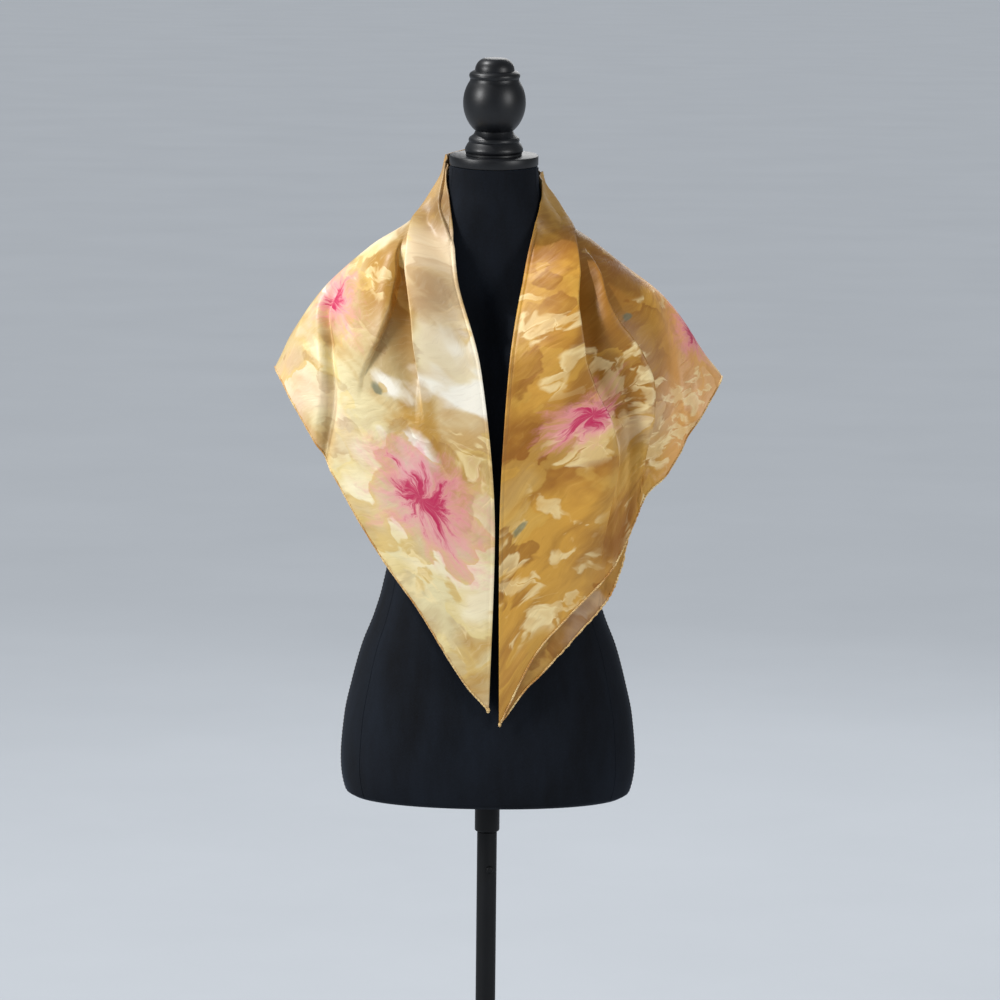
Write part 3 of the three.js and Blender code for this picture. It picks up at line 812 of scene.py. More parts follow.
def tube_faces(rings: int, sides: int) -> list:
    """The quads of a tube and a face over each of its ends.

    Args:
        rings: how many rings of points it has.
        sides: the corners of each ring.

    Returns:
        The faces, as vertex numbers.
    """
    faces = []
    for side in range(sides):
        a = np.arange(rings - 1) * sides + side
        b = np.arange(rings - 1) * sides + (side + 1) % sides
        faces.extend(np.stack([a, b, b + sides, a + sides], axis=1).tolist())
    first = list(range(sides))
    return [*faces, first[::-1], [(rings - 1) * sides + side for side in first]]


def sweep(name: str, path: Array, out: Array, radii: Array, sides: int, flatten: float = 1.0) -> Piece:
    """Sweeps a closed round section along a path.

    Args:
        name: the piece's name.
        path: points along the middle, in metres.
        out: a direction at each point that the section keeps upright to.
        radii: the section's radius at each point.
        sides: the section's corners.
        flatten: the section's thickness as a share of its width.

    Returns:
        The new object, with its length in metres along U and its girth along V.
    """
    run = unit(np.gradient(path, axis=0))
    side = unit(np.cross(run, out))
    up = unit(np.cross(side, run))
    angle = np.linspace(0, 2 * np.pi, sides, endpoint=False)
    ring = side[:, None] * np.cos(angle)[:, None] + up[:, None] * np.sin(angle)[:, None] * flatten
    points = (path[:, None] + radii[:, None, None] * ring).reshape(-1, 3)
    girth = np.tile(angle / (2 * np.pi), len(path))
    uvs = np.stack([np.repeat(run_length(path), sides), girth], axis=-1)
    return new_piece(name, points, tube_faces(len(path), sides), uvs)


class WetDye:
    """The dye of one cloth: the fields that it follows, and the layers that it is drawn in.

    A scale is in cycles per metre of cloth, and a size or a place is in metres.
    """

    def __init__(self, tree: Tree, cut: float) -> None:
        """Sets up the fields, all read from the piece's own cut map.

        Args:
            tree: the material's node tree.
            cut: the side of the square, in metres.
        """
        self.tree = tree
        uv = self.node("UVMap", {"uv_map": "cut"}).outputs[0]
        split = self.node("SeparateXYZ", {}, {0: uv})
        u, v = split.outputs[0], split.outputs[1]
        self.place = self.node("VectorMath", {"operation": "SCALE", "Scale": cut}, {0: uv}).outputs[0]
        # The dye has run: slow bends of 35 mm, and feathering of 6 mm.
        self.moved = self.swayed(self.place, 5.5, 0.035)
        self.wet = self.swayed(self.moved, 38.0, 0.006)
        self.along_fold = self.times(self.maths("ADD", u, v), 0.5)
        off_fold = self.times(self.maths("ABSOLUTE", self.maths("SUBTRACT", v, u)), cut * 0.7071)
        uneven = self.noise(self.moved, 16, 4)
        self.from_fold = self.sloped(uneven, 0.030, self.maths("SUBTRACT", off_fold, 0.015))
        # The wearer's left half took more ochre than the right half.
        self.warmer = self.step(self.along_fold, 0.38, 0.60)
        self.wash = self.noise(self.moved, 7.5, 4, 0.58)
        pale = self.noise(self.turned(self.moved, 0, (1, 1), (5.2, 8.8, 0)), 4.2, 3)
        self.pink = self.times(self.step(pale, 0.52, 0.68), self.sloped(self.warmer, -0.30, 0.60))

    def node(self, kind: str, settings: dict, links: dict | None = None) -> Node:
        """Adds a node to this material."""
        return add_node(self.tree, kind, settings, links)

    def maths(self, operation: str, first: object, second: object = 0.0, third: object = 0.0) -> Socket:
        """Adds a sum to this material.

        Args:
            operation: the sum's type.
            first: a number or a socket, like the other two.
            second: the second value.
            third: the third value.

        Returns:
            The result.
        """
        given = {0: first, 1: second, 2: third}
        numbers = {k: v for k, v in given.items() if isinstance(v, (int, float))}
        sockets = {k: v for k, v in given.items() if not isinstance(v, (int, float))}
        return self.node("Math", {"operation": operation, **numbers}, sockets).outputs[0]

    def times(self, first: object, *others: object) -> Socket:
        """Multiplies values, each a number or a socket, in their order.

        Args:
            first: the first value.
            others: the values that it is multiplied by.

        Returns:
            The product.
        """
        for other in others:
            first = self.maths("MULTIPLY", first, other)
        return first

    def sloped(self, value: Socket, slope: float, base: object) -> Socket:
        """A value times a slope, on top of a base."""
        return self.maths("MULTIPLY_ADD", value, slope, base)

    def step(self, value: Socket, start: float, end: float) -> Socket:
        """Adds a smooth step from 0 at start to 1 at end, whichever of them is the larger.

        Args:
            value: what is stepped.
            start: where the step is 0.
            end: where it is 1.

        Returns:
            The step.
        """
        low, high, to_low, to_high = (start, end, 0.0, 1.0) if start < end else (end, start, 1.0, 0.0)
        settings = {"interpolation_type": "SMOOTHSTEP", 1: low, 2: high, 3: to_low, 4: to_high}
        return self.node("MapRange", settings, {0: value}).outputs[0]

    def noise(self, at: Socket, scale: float, detail: float, rough: float = 0.5) -> Socket:
        """Adds a noise over the cloth."""
        settings = {"noise_dimensions": "2D", "Scale": scale, "Detail": detail, "Roughness": rough}
        return self.node("TexNoise", settings, {"Vector": at}).outputs[0]

    def blend(self, under: object, over: object, factor: Socket) -> Socket:
        """Lays one colour over another.

        Args:
            under: a hex colour or a socket.
            over: the same, for the colour on top.
            factor: how much of the top one shows.

        Returns:
            The mixed colour.
        """
        colours = {6: under, 7: over}
        fixed = {k: linear(v) for k, v in colours.items() if isinstance(v, str)}
        fed = {k: v for k, v in colours.items() if not isinstance(v, str)}
        return self.node("Mix", {"data_type": "RGBA", **fixed}, {0: factor, **fed}).outputs[2]

    def turned(self, at: Socket, degrees: float, stretch: tuple, move: tuple = (0, 0, 0)) -> Socket:
        """Turns and stretches a place, so a pattern on it becomes streaks."""
        settings = {"Rotation": (0, 0, math.radians(degrees)), "Scale": (*stretch, 1), "Location": move}
        return self.node("Mapping", settings, {"Vector": at}).outputs[0]

    def swayed(self, at: Socket, scale: float, reach: float) -> Socket:
        """Moves places about by a noise.

        Args:
            at: the places.
            scale: the noise's scale.
            reach: how far it moves them at most.

        Returns:
            The moved places.
        """
        drift = self.noise(at, scale, 3, 0.55).node.outputs["Color"]
        settings = {"operation": "SUBTRACT", 1: (0.5, 0.5, 0.5)}
        centred = self.node("VectorMath", settings, {0: drift}).outputs[0]
        settings = {"operation": "MULTIPLY_ADD", 1: (2 * reach, 2 * reach, 0)}
        return self.node("VectorMath", settings, {0: centred, 2: at}).outputs[0]

    def depth(self, scale: float, move: tuple) -> tuple[Socket, Socket]:
        """How deep a dye stood, in a field with scalloped outlines.

        Args:
            scale: the field's scale.
            move: which part of the noise it takes.

        Returns:
            The depth, and the places of that part.
        """
        at = self.turned(self.wet, 0, (1, 1), move)
        cells = self.node("TexVoronoi", {"voronoi_dimensions": "2D", "Scale": scale * 4.4}, {"Vector": at})
        return self.sloped(cells.outputs["Distance"], -0.13, self.noise(at, scale, 5, 0.5)), at

    def pool(self, scale: float, move: tuple, cut_off: float, gather: float) -> tuple[Socket, Socket]:
        """A pool of dye: crisp at its scalloped front, denser there, and paler inside.

        Args:
            scale: its scale.
            move: which part of the noise it takes.
            cut_off: the depth at its front.
            gather: the share of its strength that it loses inside.

        Returns:
            Its strength and its depth.
        """
        level, at = self.depth(scale, move)
        sharpness = {1: 0.38, 2: 0.60, 3: 9.0, 4: 75.0}
        crispness = self.node("MapRange", sharpness, {0: self.noise(at, 9, 2)}).outputs[0]
        front = self.times(self.maths("SUBTRACT", level, cut_off), crispness)
        front = self.node("MapRange", {"interpolation_type": "SMOOTHSTEP"}, {0: front}).outputs[0]
        inside = self.step(level, cut_off + 0.11, cut_off)
        return self.times(front, self.sloped(inside, gather, 1 - gather)), level

    def ground(self) -> Socket:
        """The golds and pinks that lie under all other dye, with painted shade behind the band's roll near
        the neck.

        Returns:
            The colour.
        """
        warmer, from_fold = self.warmer, self.from_fold
        pale_gold, deep_gold = self.blend("E0D2A2", "C89438", warmer), self.blend("BC9142", "965E18", warmer)
        tone = self.blend(pale_gold, deep_gold, self.step(self.wash, 0.38, 0.66))
        # Soft brown shade where the cloth lay in folds in the dye bath, 20 mm wide.
        lay = self.noise(self.turned(self.moved, 24, (1, 3.2), (4.0, 2.0, 0)), 9, 3, 0.55)
        shade = self.times(self.step(lay, 0.48, 0.74), self.sloped(warmer, 0.24, 0.32))
        tone = self.blend(tone, "8A5714", shade)
        # A browner gold 60 to 140 mm in from the fold, near the neck, is partly dye and partly painted shade
        # in the hollow behind the band's roll; the dye held off nearer the fold.
        near_neck = self.times(self.step(self.along_fold, 0.16, 0.30), self.step(self.along_fold, 0.84, 0.72))
        dye_and_shade_behind_band = self.times(self.step(from_fold, 0.050, 0.062), self.step(from_fold, 0.190, 0.090))
        browner = self.blend("A87C34", "8C5A1A", warmer)
        tone = self.blend(tone, browner, self.times(dye_and_shade_behind_band, near_neck, 0.78))
        cooler = self.times(near_neck, self.step(warmer, 0.6, 0.1))
        held_off = self.times(self.step(from_fold, 0.060, 0.046), cooler)
        tone = self.blend(tone, "F1DDBE", self.times(held_off, 0.6))
        return self.blend(tone, self.blend("EBCFB6", "C4954A", warmer), self.pink)

    def pools(self, tone: Socket) -> Socket:
        """Pools of cream, white, ochre and brown, with the browner collar and painted light on the outer part
        of the warmer half.

        Args:
            tone: the colour under them.

        Returns:
            The colour with the pools.
        """
        warmer = self.warmer
        cream, level = self.pool(5.2, (3.1, 1.7, 0), 0.480, 0.10)
        deep, shallow = self.blend("F1E5C2", "E2C070", warmer), self.blend("DFC988", "CBA047", warmer)
        light = self.blend(shallow, deep, self.step(level, 0.48, 0.62))
        light = self.blend(light, self.blend("F1D9CA", "DAB06A", warmer), self.times(self.pink, 0.8))
        tone = self.blend(tone, light, self.times(cream, self.sloped(warmer, -0.42, 0.88)))
        white = self.step(self.depth(4.2, (2.7, 7.4, 0))[0], 0.505, 0.585)
        tone = self.blend(tone, "F8F2E2", self.times(white, self.sloped(warmer, -0.70, 0.95)))
        ochre, level = self.pool(6.0, (1.3, 8.1, 0), 0.455, 0.45)
        earth = self.blend(self.blend("CFAD62", "C2923A", warmer), "A07022", self.step(level, 0.47, 0.58))
        tone = self.blend(tone, earth, self.times(ochre, 0.80))
        brown, _ = self.pool(7.4, (9.2, 3.6, 0), 0.510, 0.5)
        tone = self.blend(tone, "8F5914", self.times(brown, self.sloped(warmer, 0.42, 0.32)))
        # The collar round the neck is a browner gold.
        off_middle = self.maths("ABSOLUTE", self.maths("SUBTRACT", self.along_fold, 0.5))
        collar = self.times(self.step(off_middle, 0.142, 0.098), self.step(self.from_fold, 0.12, 0.06))
        browner = self.blend("A27A32", "765016", self.step(self.wash, 0.42, 0.60))
        tone = self.blend(tone, browner, self.times(collar, 0.88))
        # Painted light: a lighter, redder gold 190 to 365 mm in from the fold on the warmer half, on the
        # outer part that faces away from the key.
        painted_light_outside = self.times(self.step(self.from_fold, 0.165, 0.215), self.step(self.from_fold, 0.40, 0.33))
        return self.blend(tone, "ECAE68", self.times(painted_light_outside, warmer, 0.60))

    def petals(self, tone: Socket) -> Socket:
        """Flowers pressed on the wet cloth: petals 20 to 40 mm long held the dye off, in drifts.

        Args:
            tone: the colour under them.

        Returns:
            The colour with the petals.
        """
        grove = self.noise(self.turned(self.place, 0, (1, 1), (7, 3, 0)), 4.6, 2)
        drifts = self.sloped(self.warmer, 0.12, grove)
        loose = self.swayed(self.wet, 17.0, 0.016)
        for scale, degrees, move in ((8.5, 0, (0.31, 0.92, 0)), (13.0, 30, (1.93, 0.24, 0))):
            spot = self.turned(loose, degrees, (1.25, 0.85), move)
            spacing = {"voronoi_dimensions": "2D", "Scale": scale, "Randomness": 0.9}
            flower = self.node("TexVoronoi", spacing, {"Vector": spot})
            middle = flower.outputs["Position"]
            away = self.node("VectorMath", {"operation": "SUBTRACT"}, {0: spot, 1: middle}).outputs[0]
            parts = self.node("SeparateXYZ", {}, {0: away})
            bearing = self.maths("ARCTAN2", parts.outputs[1], parts.outputs[0])
            heading = self.sloped(self.noise(spot, 9, 3, 0.6), 1.6, bearing)
            own = self.node("SeparateColor", {}, {0: flower.outputs["Color"]})
            phase = self.sloped(own.outputs[0], 6.3, self.times(heading, 2.5))
            lobes = self.maths("POWER", self.maths("ABSOLUTE", self.maths("COSINE", phase)), 0.6)
            ragged = self.sloped(self.noise(spot, 30, 3), 0.55, self.sloped(lobes, 0.30, -0.14))
            shape = self.maths("SUBTRACT", ragged, flower.outputs["Distance"])
            thinner = self.sloped(self.step(shape, 0.02, 0.20), -0.45, 1.0)
            petal = self.times(self.step(shape, -0.015, 0.075), thinner)
            veins = self.noise(self.turned(spot, 50, (1, 2), (5, 1, 0)), 21, 3, 0.6)
            petal = self.times(petal, self.step(veins, 0.44, 0.54))
            there = self.times(self.step(own.outputs[1], 0.47, 0.53), self.step(drifts, 0.55, 0.63))
            tone = self.blend(tone, "F0DAA2", self.times(petal, there, 0.74))
        return tone

    def streaks(self, tone: Socket) -> Socket:
        """Fine brush-like streaks in the dye, 2 mm across and 20 mm long.

        Args:
            tone: the colour under them.

        Returns:
            The colour with the streaks.
        """
        glint = self.blend("F7EDCF", "E2B962", self.warmer)
        for degrees, move in ((28, (0, 0, 0)), (-52, (3, 5, 0))):
            streak = self.noise(self.turned(self.wet, degrees, (1, 8), move), 34, 3, 0.6)
            tone = self.blend(tone, "7F5016", self.times(self.step(streak, 0.56, 0.80), 0.11))
            tone = self.blend(tone, glint, self.times(self.step(streak, 0.44, 0.24), 0.09))
        return tone

    def bursts(self, tone: Socket, places: tuple) -> Socket:
        """Raspberry dye that burst outwards in feathers.

        Args:
            tone: the colour under it.
            places: the centre and the size of each burst.

        Returns:
            The colour with the bursts.
        """
        spread = self.swayed(self.wet, 13.0, 0.022)
        for centre, size in places:
            settings = {"operation": "SUBTRACT", 1: (*centre, 0)}
            away = self.node("VectorMath", settings, {0: spread}).outputs[0]
            far = self.node("VectorMath", {"operation": "LENGTH"}, {0: away}).outputs["Value"]
            heading = self.node("VectorMath", {"operation": "NORMALIZE"}, {0: away}).outputs[0]
            parts = self.node("SeparateXYZ", {}, {0: heading})
            fan = {0: parts.outputs[0], 1: parts.outputs[1], 2: self.times(far, 9.0)}
            fan = self.node("CombineXYZ", {}, fan).outputs[0]
            feathers = {"Scale": 3.3, "Detail": 4.0, "Roughness": 0.72}
            streak = self.node("TexNoise", feathers, {"Vector": fan}).outputs[0]
            reach = self.sloped(streak, -2.2 * size, self.maths("ADD", far, 1.1 * size))
            halo = self.step(reach, 1.35 * size, 0.25 * size)
            core = self.step(reach, 0.62 * size, 0.12 * size)
            tone = self.blend(tone, "E78FA0", self.times(halo, 0.80))
            tone = self.blend(tone, "BA2452", self.times(core, self.sloped(streak, 0.6, 0.60)))
        return tone

    def specks(self, tone: Socket) -> Socket:
        """A few grey-green specks, about 12 mm across.

        Args:
            tone: the colour under them.

        Returns:
            The colour with the specks.
        """
        speck = self.node("TexVoronoi", {"voronoi_dimensions": "2D", "Scale": 9.0}, {"Vector": self.wet})
        own = self.node("SeparateColor", {}, {0: speck.outputs["Color"]})
        dot, rare = self.step(speck.outputs["Distance"], 0.08, 0.04), self.step(own.outputs[2], 0.13, 0.11)
        return self.blend(tone, "5C6A56", self.times(dot, rare, 0.7))


@dataclass(frozen=True)
class DyedCharmeuse:
    """Silk charmeuse, woven with a satin face and dyed by hand, wet in wet.

    The satin face gives broad soft highlights along the folds, and wet dye gives clouds with soft
    insides and crisp scalloped fronts, pale petal marks, and bursts of a stronger colour.
    """

    name: str = "dyed_silk_charmeuse"
    cut: float = 1.10
    roughness: float = 0.43
    # How far the colour is darkened towards brown; on the under layer this is painted shade.
    darker: float = 0.0
    bursts: tuple = (
        ((0.36, 0.25), 0.045), ((0.19, 0.46), 0.055), ((0.10, 0.21), 0.066), ((0.62, 0.55), 0.030),
        ((0.80, 0.92), 0.040), ((0.93, 0.70), 0.065), ((0.60, 0.99), 0.055),
    )

    def build(self) -> Material:
        """Makes the material, which reads the piece's own cut map.

        Returns:
            The material.
        """
        sheen = {"Sheen Weight": 0.04, "Sheen Roughness": 0.4, "Sheen Tint": linear("F3E3C2")}
        material, tree, shader = new_material(self.name, {"Specular IOR Level": 0.40, **sheen})
        dye = WetDye(tree, self.cut)
        tone = dye.streaks(dye.petals(dye.pools(dye.ground())))
        tone = dye.specks(dye.bursts(tone, self.bursts))
        # Darkening towards brown: painted shade on the under layer, which lies beneath the upper one.
        if self.darker:
            settings = {"data_type": "RGBA", "Factor": self.darker, 7: linear("6E4716")}
            tone = add_node(tree, "Mix", settings, {6: tone}).outputs[2]
        tree.links.new(tone, shader.inputs["Base Color"])
        # The weave is 0.1 mm a thread, drawn as slubs of 2 by 12 mm because finer ones can't show.
        slub, slub_across = (
            dye.noise(dye.turned(dye.place, 0, stretch), 9, 2, 0.6) for stretch in ((60, 9), (9, 60))
        )
        cloth = dye.times(dye.maths("ADD", slub, slub_across), 0.5)
        rough = dye.node("MapRange", {3: self.roughness - 0.06, 4: self.roughness + 0.08}, {0: cloth})
        tree.links.new(rough.outputs[0], shader.inputs["Roughness"])
        # Soft creases, about 17 mm apart and 60 mm long.
        creases = dye.noise(dye.turned(dye.moved, 41, (1, 3.4)), 17, 3, 0.45)
        ridge = dye.maths("ABSOLUTE", dye.maths("SUBTRACT", creases, 0.5))
        crease_bump = dye.node("Bump", {"Strength": 0.20, "Distance": 0.006}, {"Height": ridge})
        weave_bump = dye.node("Bump", {"Strength": 0.12, "Distance": 0.0006},
                              {"Height": cloth, "Normal": crease_bump.outputs[0]})
        tree.links.new(weave_bump.outputs[0], shader.inputs["Normal"])
        return material


@dataclass(frozen=True)
class HemThread:
    """The hem, rolled by hand and whipped down with silk thread: pale, with a dark stitch every 5 mm."""

    name: str = "rolled_silk_hem"
    stitch: str = "8C5E24"
    pitch: float = 0.005

    def build(self) -> Material:
        """Makes the material, which reads metres along the hem from its cut map.

        Returns:
            The material.
        """
        material, tree, shader = new_material(self.name, {"Roughness": 0.42, "Sheen Weight": 0.3})
        uv = add_node(tree, "UVMap", {"uv_map": "cut"}).outputs[0]
        split = add_node(tree, "SeparateXYZ", {}, {0: uv})
        along, round_it = split.outputs[0], split.outputs[1]
        slant = {"operation": "MULTIPLY_ADD", 1: self.pitch * 0.5}
        slanted = add_node(tree, "Math", slant, {0: round_it, 2: along}).outputs[0]
        phase = add_node(tree, "Math", {"operation": "MULTIPLY", 1: 1 / self.pitch}, {0: slanted})
        turn = add_node(tree, "Math", {"operation": "FRACT"}, {0: phase.outputs[0]})
        edge = {"interpolation_type": "SMOOTHSTEP", 1: 0.16, 2: 0.06}
        mark = add_node(tree, "MapRange", edge, {0: turn.outputs[0]}).outputs[0]
        drifting = {"noise_dimensions": "1D", "Scale": 22.0, "Detail": 2.0}
        wash = add_node(tree, "TexNoise", drifting, {"W": along})
        warm = add_ramp(tree, wash.outputs[0], (0.35, "B57D2C"), (0.66, "E2C384"))
        sewn = add_node(tree, "Mix", {"data_type": "RGBA", 7: linear(self.stitch)}, {0: mark, 6: warm})
        tree.links.new(sewn.outputs[2], shader.inputs["Base Color"])
        strands = {"bands_direction": "X", "Scale": 260.0, "Distortion": 1.5}
        twist = add_node(tree, "TexWave", strands, {"Vector": uv})
        add_bump(tree, shader, twist.outputs[1], 0.3, 0.0004)
        return material


@dataclass(frozen=True)
class BlackVelvet:
    """Cotton velvet, woven with a cut pile: near black face on, with a blue-grey bloom at its edges."""

    name: str = "black_cotton_velvet"
    bloom: str = "3C4A5E"

    def build(self) -> Material:
        """Makes the material, which reads object coordinates.

        Returns:
            The material.
        """
        sheen = {"Sheen Weight": 0.35, "Sheen Roughness": 0.35, "Sheen Tint": linear(self.bloom)}
        matt = {"Roughness": 0.95, "Specular IOR Level": 0.15}
        material, tree, shader = new_material(self.name, {**matt, **sheen})
        place = add_node(tree, "TexCoord", {}).outputs["Object"]
        # The pile is 0.5 mm across, drawn at 2 mm because finer would not show.
        pile = add_noise(tree, place, 480.0, 3.0, 0.65)
        brushed = add_node(tree, "Mapping", {"Scale": (1, 1, 0.3)}, {"Vector": place}).outputs[0]
        nap = add_noise(tree, brushed, 22.0, 4.0, 0.6)
        mixed = add_node(tree, "Math", {"operation": "MULTIPLY_ADD", 1: 0.4}, {0: pile, 2: nap}).outputs[0]
        # The colour follows the same height as the bump: lighter on the raised pile and nap, darker in their
        # hollows, which is painted light and shade.
        ramp = add_ramp(tree, mixed, (0.45, "0A0B0E"), (0.95, "151A22"))
        tree.links.new(ramp, shader.inputs["Base Color"])
        add_bump(tree, shader, mixed, 0.5, 0.0008)
        return material


@dataclass(frozen=True)
class SeamThread:
    """Black overlocking thread along the form's seams: matt, twisted polyester."""

    name: str = "black_seam_thread"

    def build(self) -> Material:
        """Makes the material, which reads the thread's own map.

        Returns:
            The material.
        """
        material, tree, shader = new_material(self.name, {"Roughness": 0.8})
        uv = add_node(tree, "UVMap", {"uv_map": "cut"}).outputs[0]
        strands = {"bands_direction": "X", "Scale": 160.0, "Distortion": 2.0}
        twist = add_node(tree, "TexWave", strands, {"Vector": uv}).outputs[1]
        # The colour follows the twist's height: lighter on the strands and darker in the grooves between
        # them, which is painted shade.
        ramp = add_ramp(tree, twist, (0.0, "060708"), (1.0, "15181D"))
        tree.links.new(ramp, shader.inputs["Base Color"])
        add_bump(tree, shader, twist, 0.4, 0.0005)
        return material


@dataclass(frozen=True)
class LacqueredWood:
    """Turned beech under a satin black lacquer: soft highlights, with faint rings from the lathe."""

    name: str = "black_lacquered_beech"

    def build(self) -> Material:
        """Makes the material, which reads object coordinates.

        Returns:
            The material.
        """
        material, tree, shader = new_material(self.name, {"Specular IOR Level": 0.40})
        place = add_node(tree, "TexCoord", {}).outputs["Object"]
        mist = add_noise(tree, place, 60.0, 4.0)
        ramp = add_ramp(tree, mist, (0.35, "050609"), (0.75, "0A0D12"))
        tree.links.new(ramp, shader.inputs["Base Color"])
        rough = add_node(tree, "MapRange", {3: 0.36, 4: 0.44}, {0: mist})
        tree.links.new(rough.outputs[0], shader.inputs["Roughness"])
        rings = {"wave_type": "BANDS", "bands_direction": "Z", "Scale": 210.0}
        lathe = add_node(tree, "TexWave", rings, {"Vector": place})
        add_bump(tree, shader, lathe.outputs[1], 0.06, 0.0003)
        return material


@dataclass(frozen=True)
class CoatedSteel:
    """Steel tube and plate under a fine black powder coat, which gives a slight orange-peel grain."""

    name: str = "black_powder_coated_steel"

    def build(self) -> Material:
        """Makes the material, which reads object coordinates.

        Returns:
            The material.
        """
        material, tree, shader = new_material(self.name, {"Specular IOR Level": 0.22})
        place = add_node(tree, "TexCoord", {}).outputs["Object"]
        # The grain is 0.5 mm, drawn at 1.5 mm because finer would not show.
        grain = add_noise(tree, place, 650.0, 2.0)
        dust = add_noise(tree, place, 14.0, 5.0)
        ramp = add_ramp(tree, dust, (0.4, "07080A"), (0.8, "101216"))
        tree.links.new(ramp, shader.inputs["Base Color"])
        rough = add_node(tree, "MapRange", {3: 0.46, 4: 0.62}, {0: dust})
        tree.links.new(rough.outputs[0], shader.inputs["Roughness"])
        add_bump(tree, shader, grain, 0.2, 0.0004)
        return material


@dataclass
class SilkScarf:
    """The scarf: two layers of one silk square, joined along the fold, with rolled hems."""

    drape: ScarfDrape = field(default_factory=ScarfDrape)
    rows: int = 124
    columns: int = 188
    under_rows: int = 100
    under_columns: int = 150
    fold_radius: float = 0.8 * MM
    thickness: float = 0.3 * MM
    fold_steps: int = 6
    hem_radius: float = 1.15 * MM
    hem_step: float = 1.25 * MM
    stitch_pitch: float = 5 * MM
    hem_sides: int = 8
    hem_grid: tuple = (40, 900)
    hem_taper: float = 6 * MM
    knot_grid: tuple = (40, 60)
    knots: tuple = (("right", 0, (7 * MM, 2.3 * MM)), ("left", -1, (6 * MM, 1.8 * MM)))

    def layer_mesh(self, name: str, layer: Layer, rows: int, columns: int) -> Piece:
        """One layer as a thin sheet; the upper one turns under along the whole fold.

        Args:
            name: the piece's name.
            layer: which layer to make.
            rows: the grid's rows.
            columns: the grid's columns over each half.

        Returns:
            The new piece.
        """
        grid, uv = self.drape.grid(rows, columns, layer)
        normals = grid_normals(grid)
        high, wide = grid.shape[:2]
        points = (grid + layer.value * self.fold_radius * normals).reshape(-1, 3)
        faces = grid_faces(high, wide)
        uvs = uv.reshape(-1, 2)
        if layer is Layer.UPPER:
            points, faces, uvs = self.add_fold(points, faces, uvs, grid, normals)
        else:
            faces = faces[:, ::-1]
        piece = new_piece(name, points, faces.tolist(), uvs)
        finish_with(piece, "SOLIDIFY", thickness=self.thickness, offset=0.0)
        return piece

    def add_fold(self, points: Array, faces: Array, uvs: Array, grid: Array, normals: Array) -> tuple:
        """Turns the upper layer's edge under, in a half-round all along the fold.

        Args:
            points: the layer's points.
            faces: its quads.
            uvs: its UVs.
            grid: the middle surface.
            normals: the directions out of it.

        Returns:
            The points, quads and UVs with the fold's added.
        """
        high, wide = grid.shape[:2]
        path = [(r, 0) for r in range(high - 1, 0, -1)] + [(0, c) for c in range(wide)]
        path += [(r, wide - 1) for r in range(1, high)]
        rows, columns = np.array(path).T
        places, out = grid[rows, columns], normals[rows, columns]
        lead = unit(np.cross(np.gradient(places, axis=0), out))
        first = rows * wide + columns
        angles = np.linspace(0, math.pi, self.fold_steps + 1)[1:]
        strips = [first]
        count = len(points)
        for angle in angles:
            ring = places + self.fold_radius * (math.cos(angle) * out + math.sin(angle) * lead)
            points, uvs = np.concatenate([points, ring]), np.concatenate([uvs, uvs[first]])
            strips.append(count + np.arange(len(path)))
            count += len(path)
        pairs = zip(strips[:-1], strips[1:])
        added = [np.stack([a[:-1], a[1:], b[1:], b[:-1]], axis=1) for a, b in pairs]
        return points, np.concatenate([faces, *added]), uvs

    def hem(self, name: str, layer: Layer) -> Piece:
        """The rolled hem along one layer's edge, pinched at each stitch.

        Args:
            name: the piece's name.
            layer: the layer that it hems.

        Returns:
            The new piece.
        """
        grid, _ = self.drape.grid(*self.hem_grid, layer)
        normals = grid_normals(grid)
        line = (grid + layer.value * self.fold_radius * normals)[-1]
        out = normals[-1]
        length = run_length(line)
        places = np.arange(0, length[-1], self.hem_step)
        path, upright = (
            np.stack([np.interp(places, length, row) for row in values.T], axis=-1) for values in (line, out)
        )
        # Each stitch narrows the roll by 22%, and it is uneven by 8% and thin at both ends.
        pinch = np.exp(-(((places / self.stitch_pitch) % 1 - 0.1) / 0.16) ** 2)
        ends = smooth(0, self.hem_taper, places) * smooth(0, self.hem_taper, length[-1] - places)
        radii = self.hem_radius * (1 - 0.22 * pinch + 0.08 * np.sin(places * 190)) * (0.45 + 0.55 * ends)
        path = path + unit(upright) * (0.2 * MM * np.sin(places * 410))[:, None]
        return sweep(name, path, upright, radii, self.hem_sides, 0.9)

    def corner_knot(self, name: str, tip: Array, hang: Array, size: tuple) -> Piece:
        """The small whipped knot where hems and fold meet at a point of the scarf.

        Args:
            name: the piece's name.
            tip: the point that it ends, in metres.
            hang: the direction that it hangs in.
            size: its length and its radius.

        Returns:
            The new piece.
        """
        share = np.linspace(0, 1, 17)
        path = tip + np.outer(share - 0.45, hang) * size[0]
        bulge = np.sqrt(np.maximum(0.02, 1 - (2 * share - 1) ** 2)) * (1 - 0.14 * np.sin(share * 21))
        out = np.tile(np.array([0, -1.0, 0]), (len(share), 1))
        return sweep(name, path, out, size[1] * bulge, 12)

    def build(self) -> None:
        """Builds and dresses the scarf's pieces."""
        silk, thread = DyedCharmeuse().build(), HemThread().build()
        # The reverse is rougher, and its darker colour is painted shade beneath the upper layer.
        under_silk = DyedCharmeuse("dyed_silk_reverse_with_painted_shade", roughness=0.55, darker=0.3).build()
        upper = self.layer_mesh("silk_upper_layer", Layer.UPPER, self.rows, self.columns)
        dress(upper, silk, Slot.SILK, "scarf_upper_layer")
        under = self.layer_mesh("silk_under_layer", Layer.UNDER, self.under_rows, self.under_columns)
        dress(under, under_silk, Slot.SILK_UNDER, "scarf_under_layer")
        upper_hem = self.hem("upper_rolled_hem", Layer.UPPER)
        under_hem = self.hem("under_rolled_hem", Layer.UNDER)
        dress(upper_hem, thread, Slot.SILK)
        dress(under_hem, thread, Slot.SILK_UNDER)
        grid, _ = self.drape.grid(*self.knot_grid, Layer.UPPER)
        for side, column, size in self.knots:
            tip, hang = grid[-1, column], unit(grid[-1, column] - grid[-2, column])
            knot = self.corner_knot(side + "_corner_knot", tip, hang, size)
            dress(knot, thread, Slot.SILK)


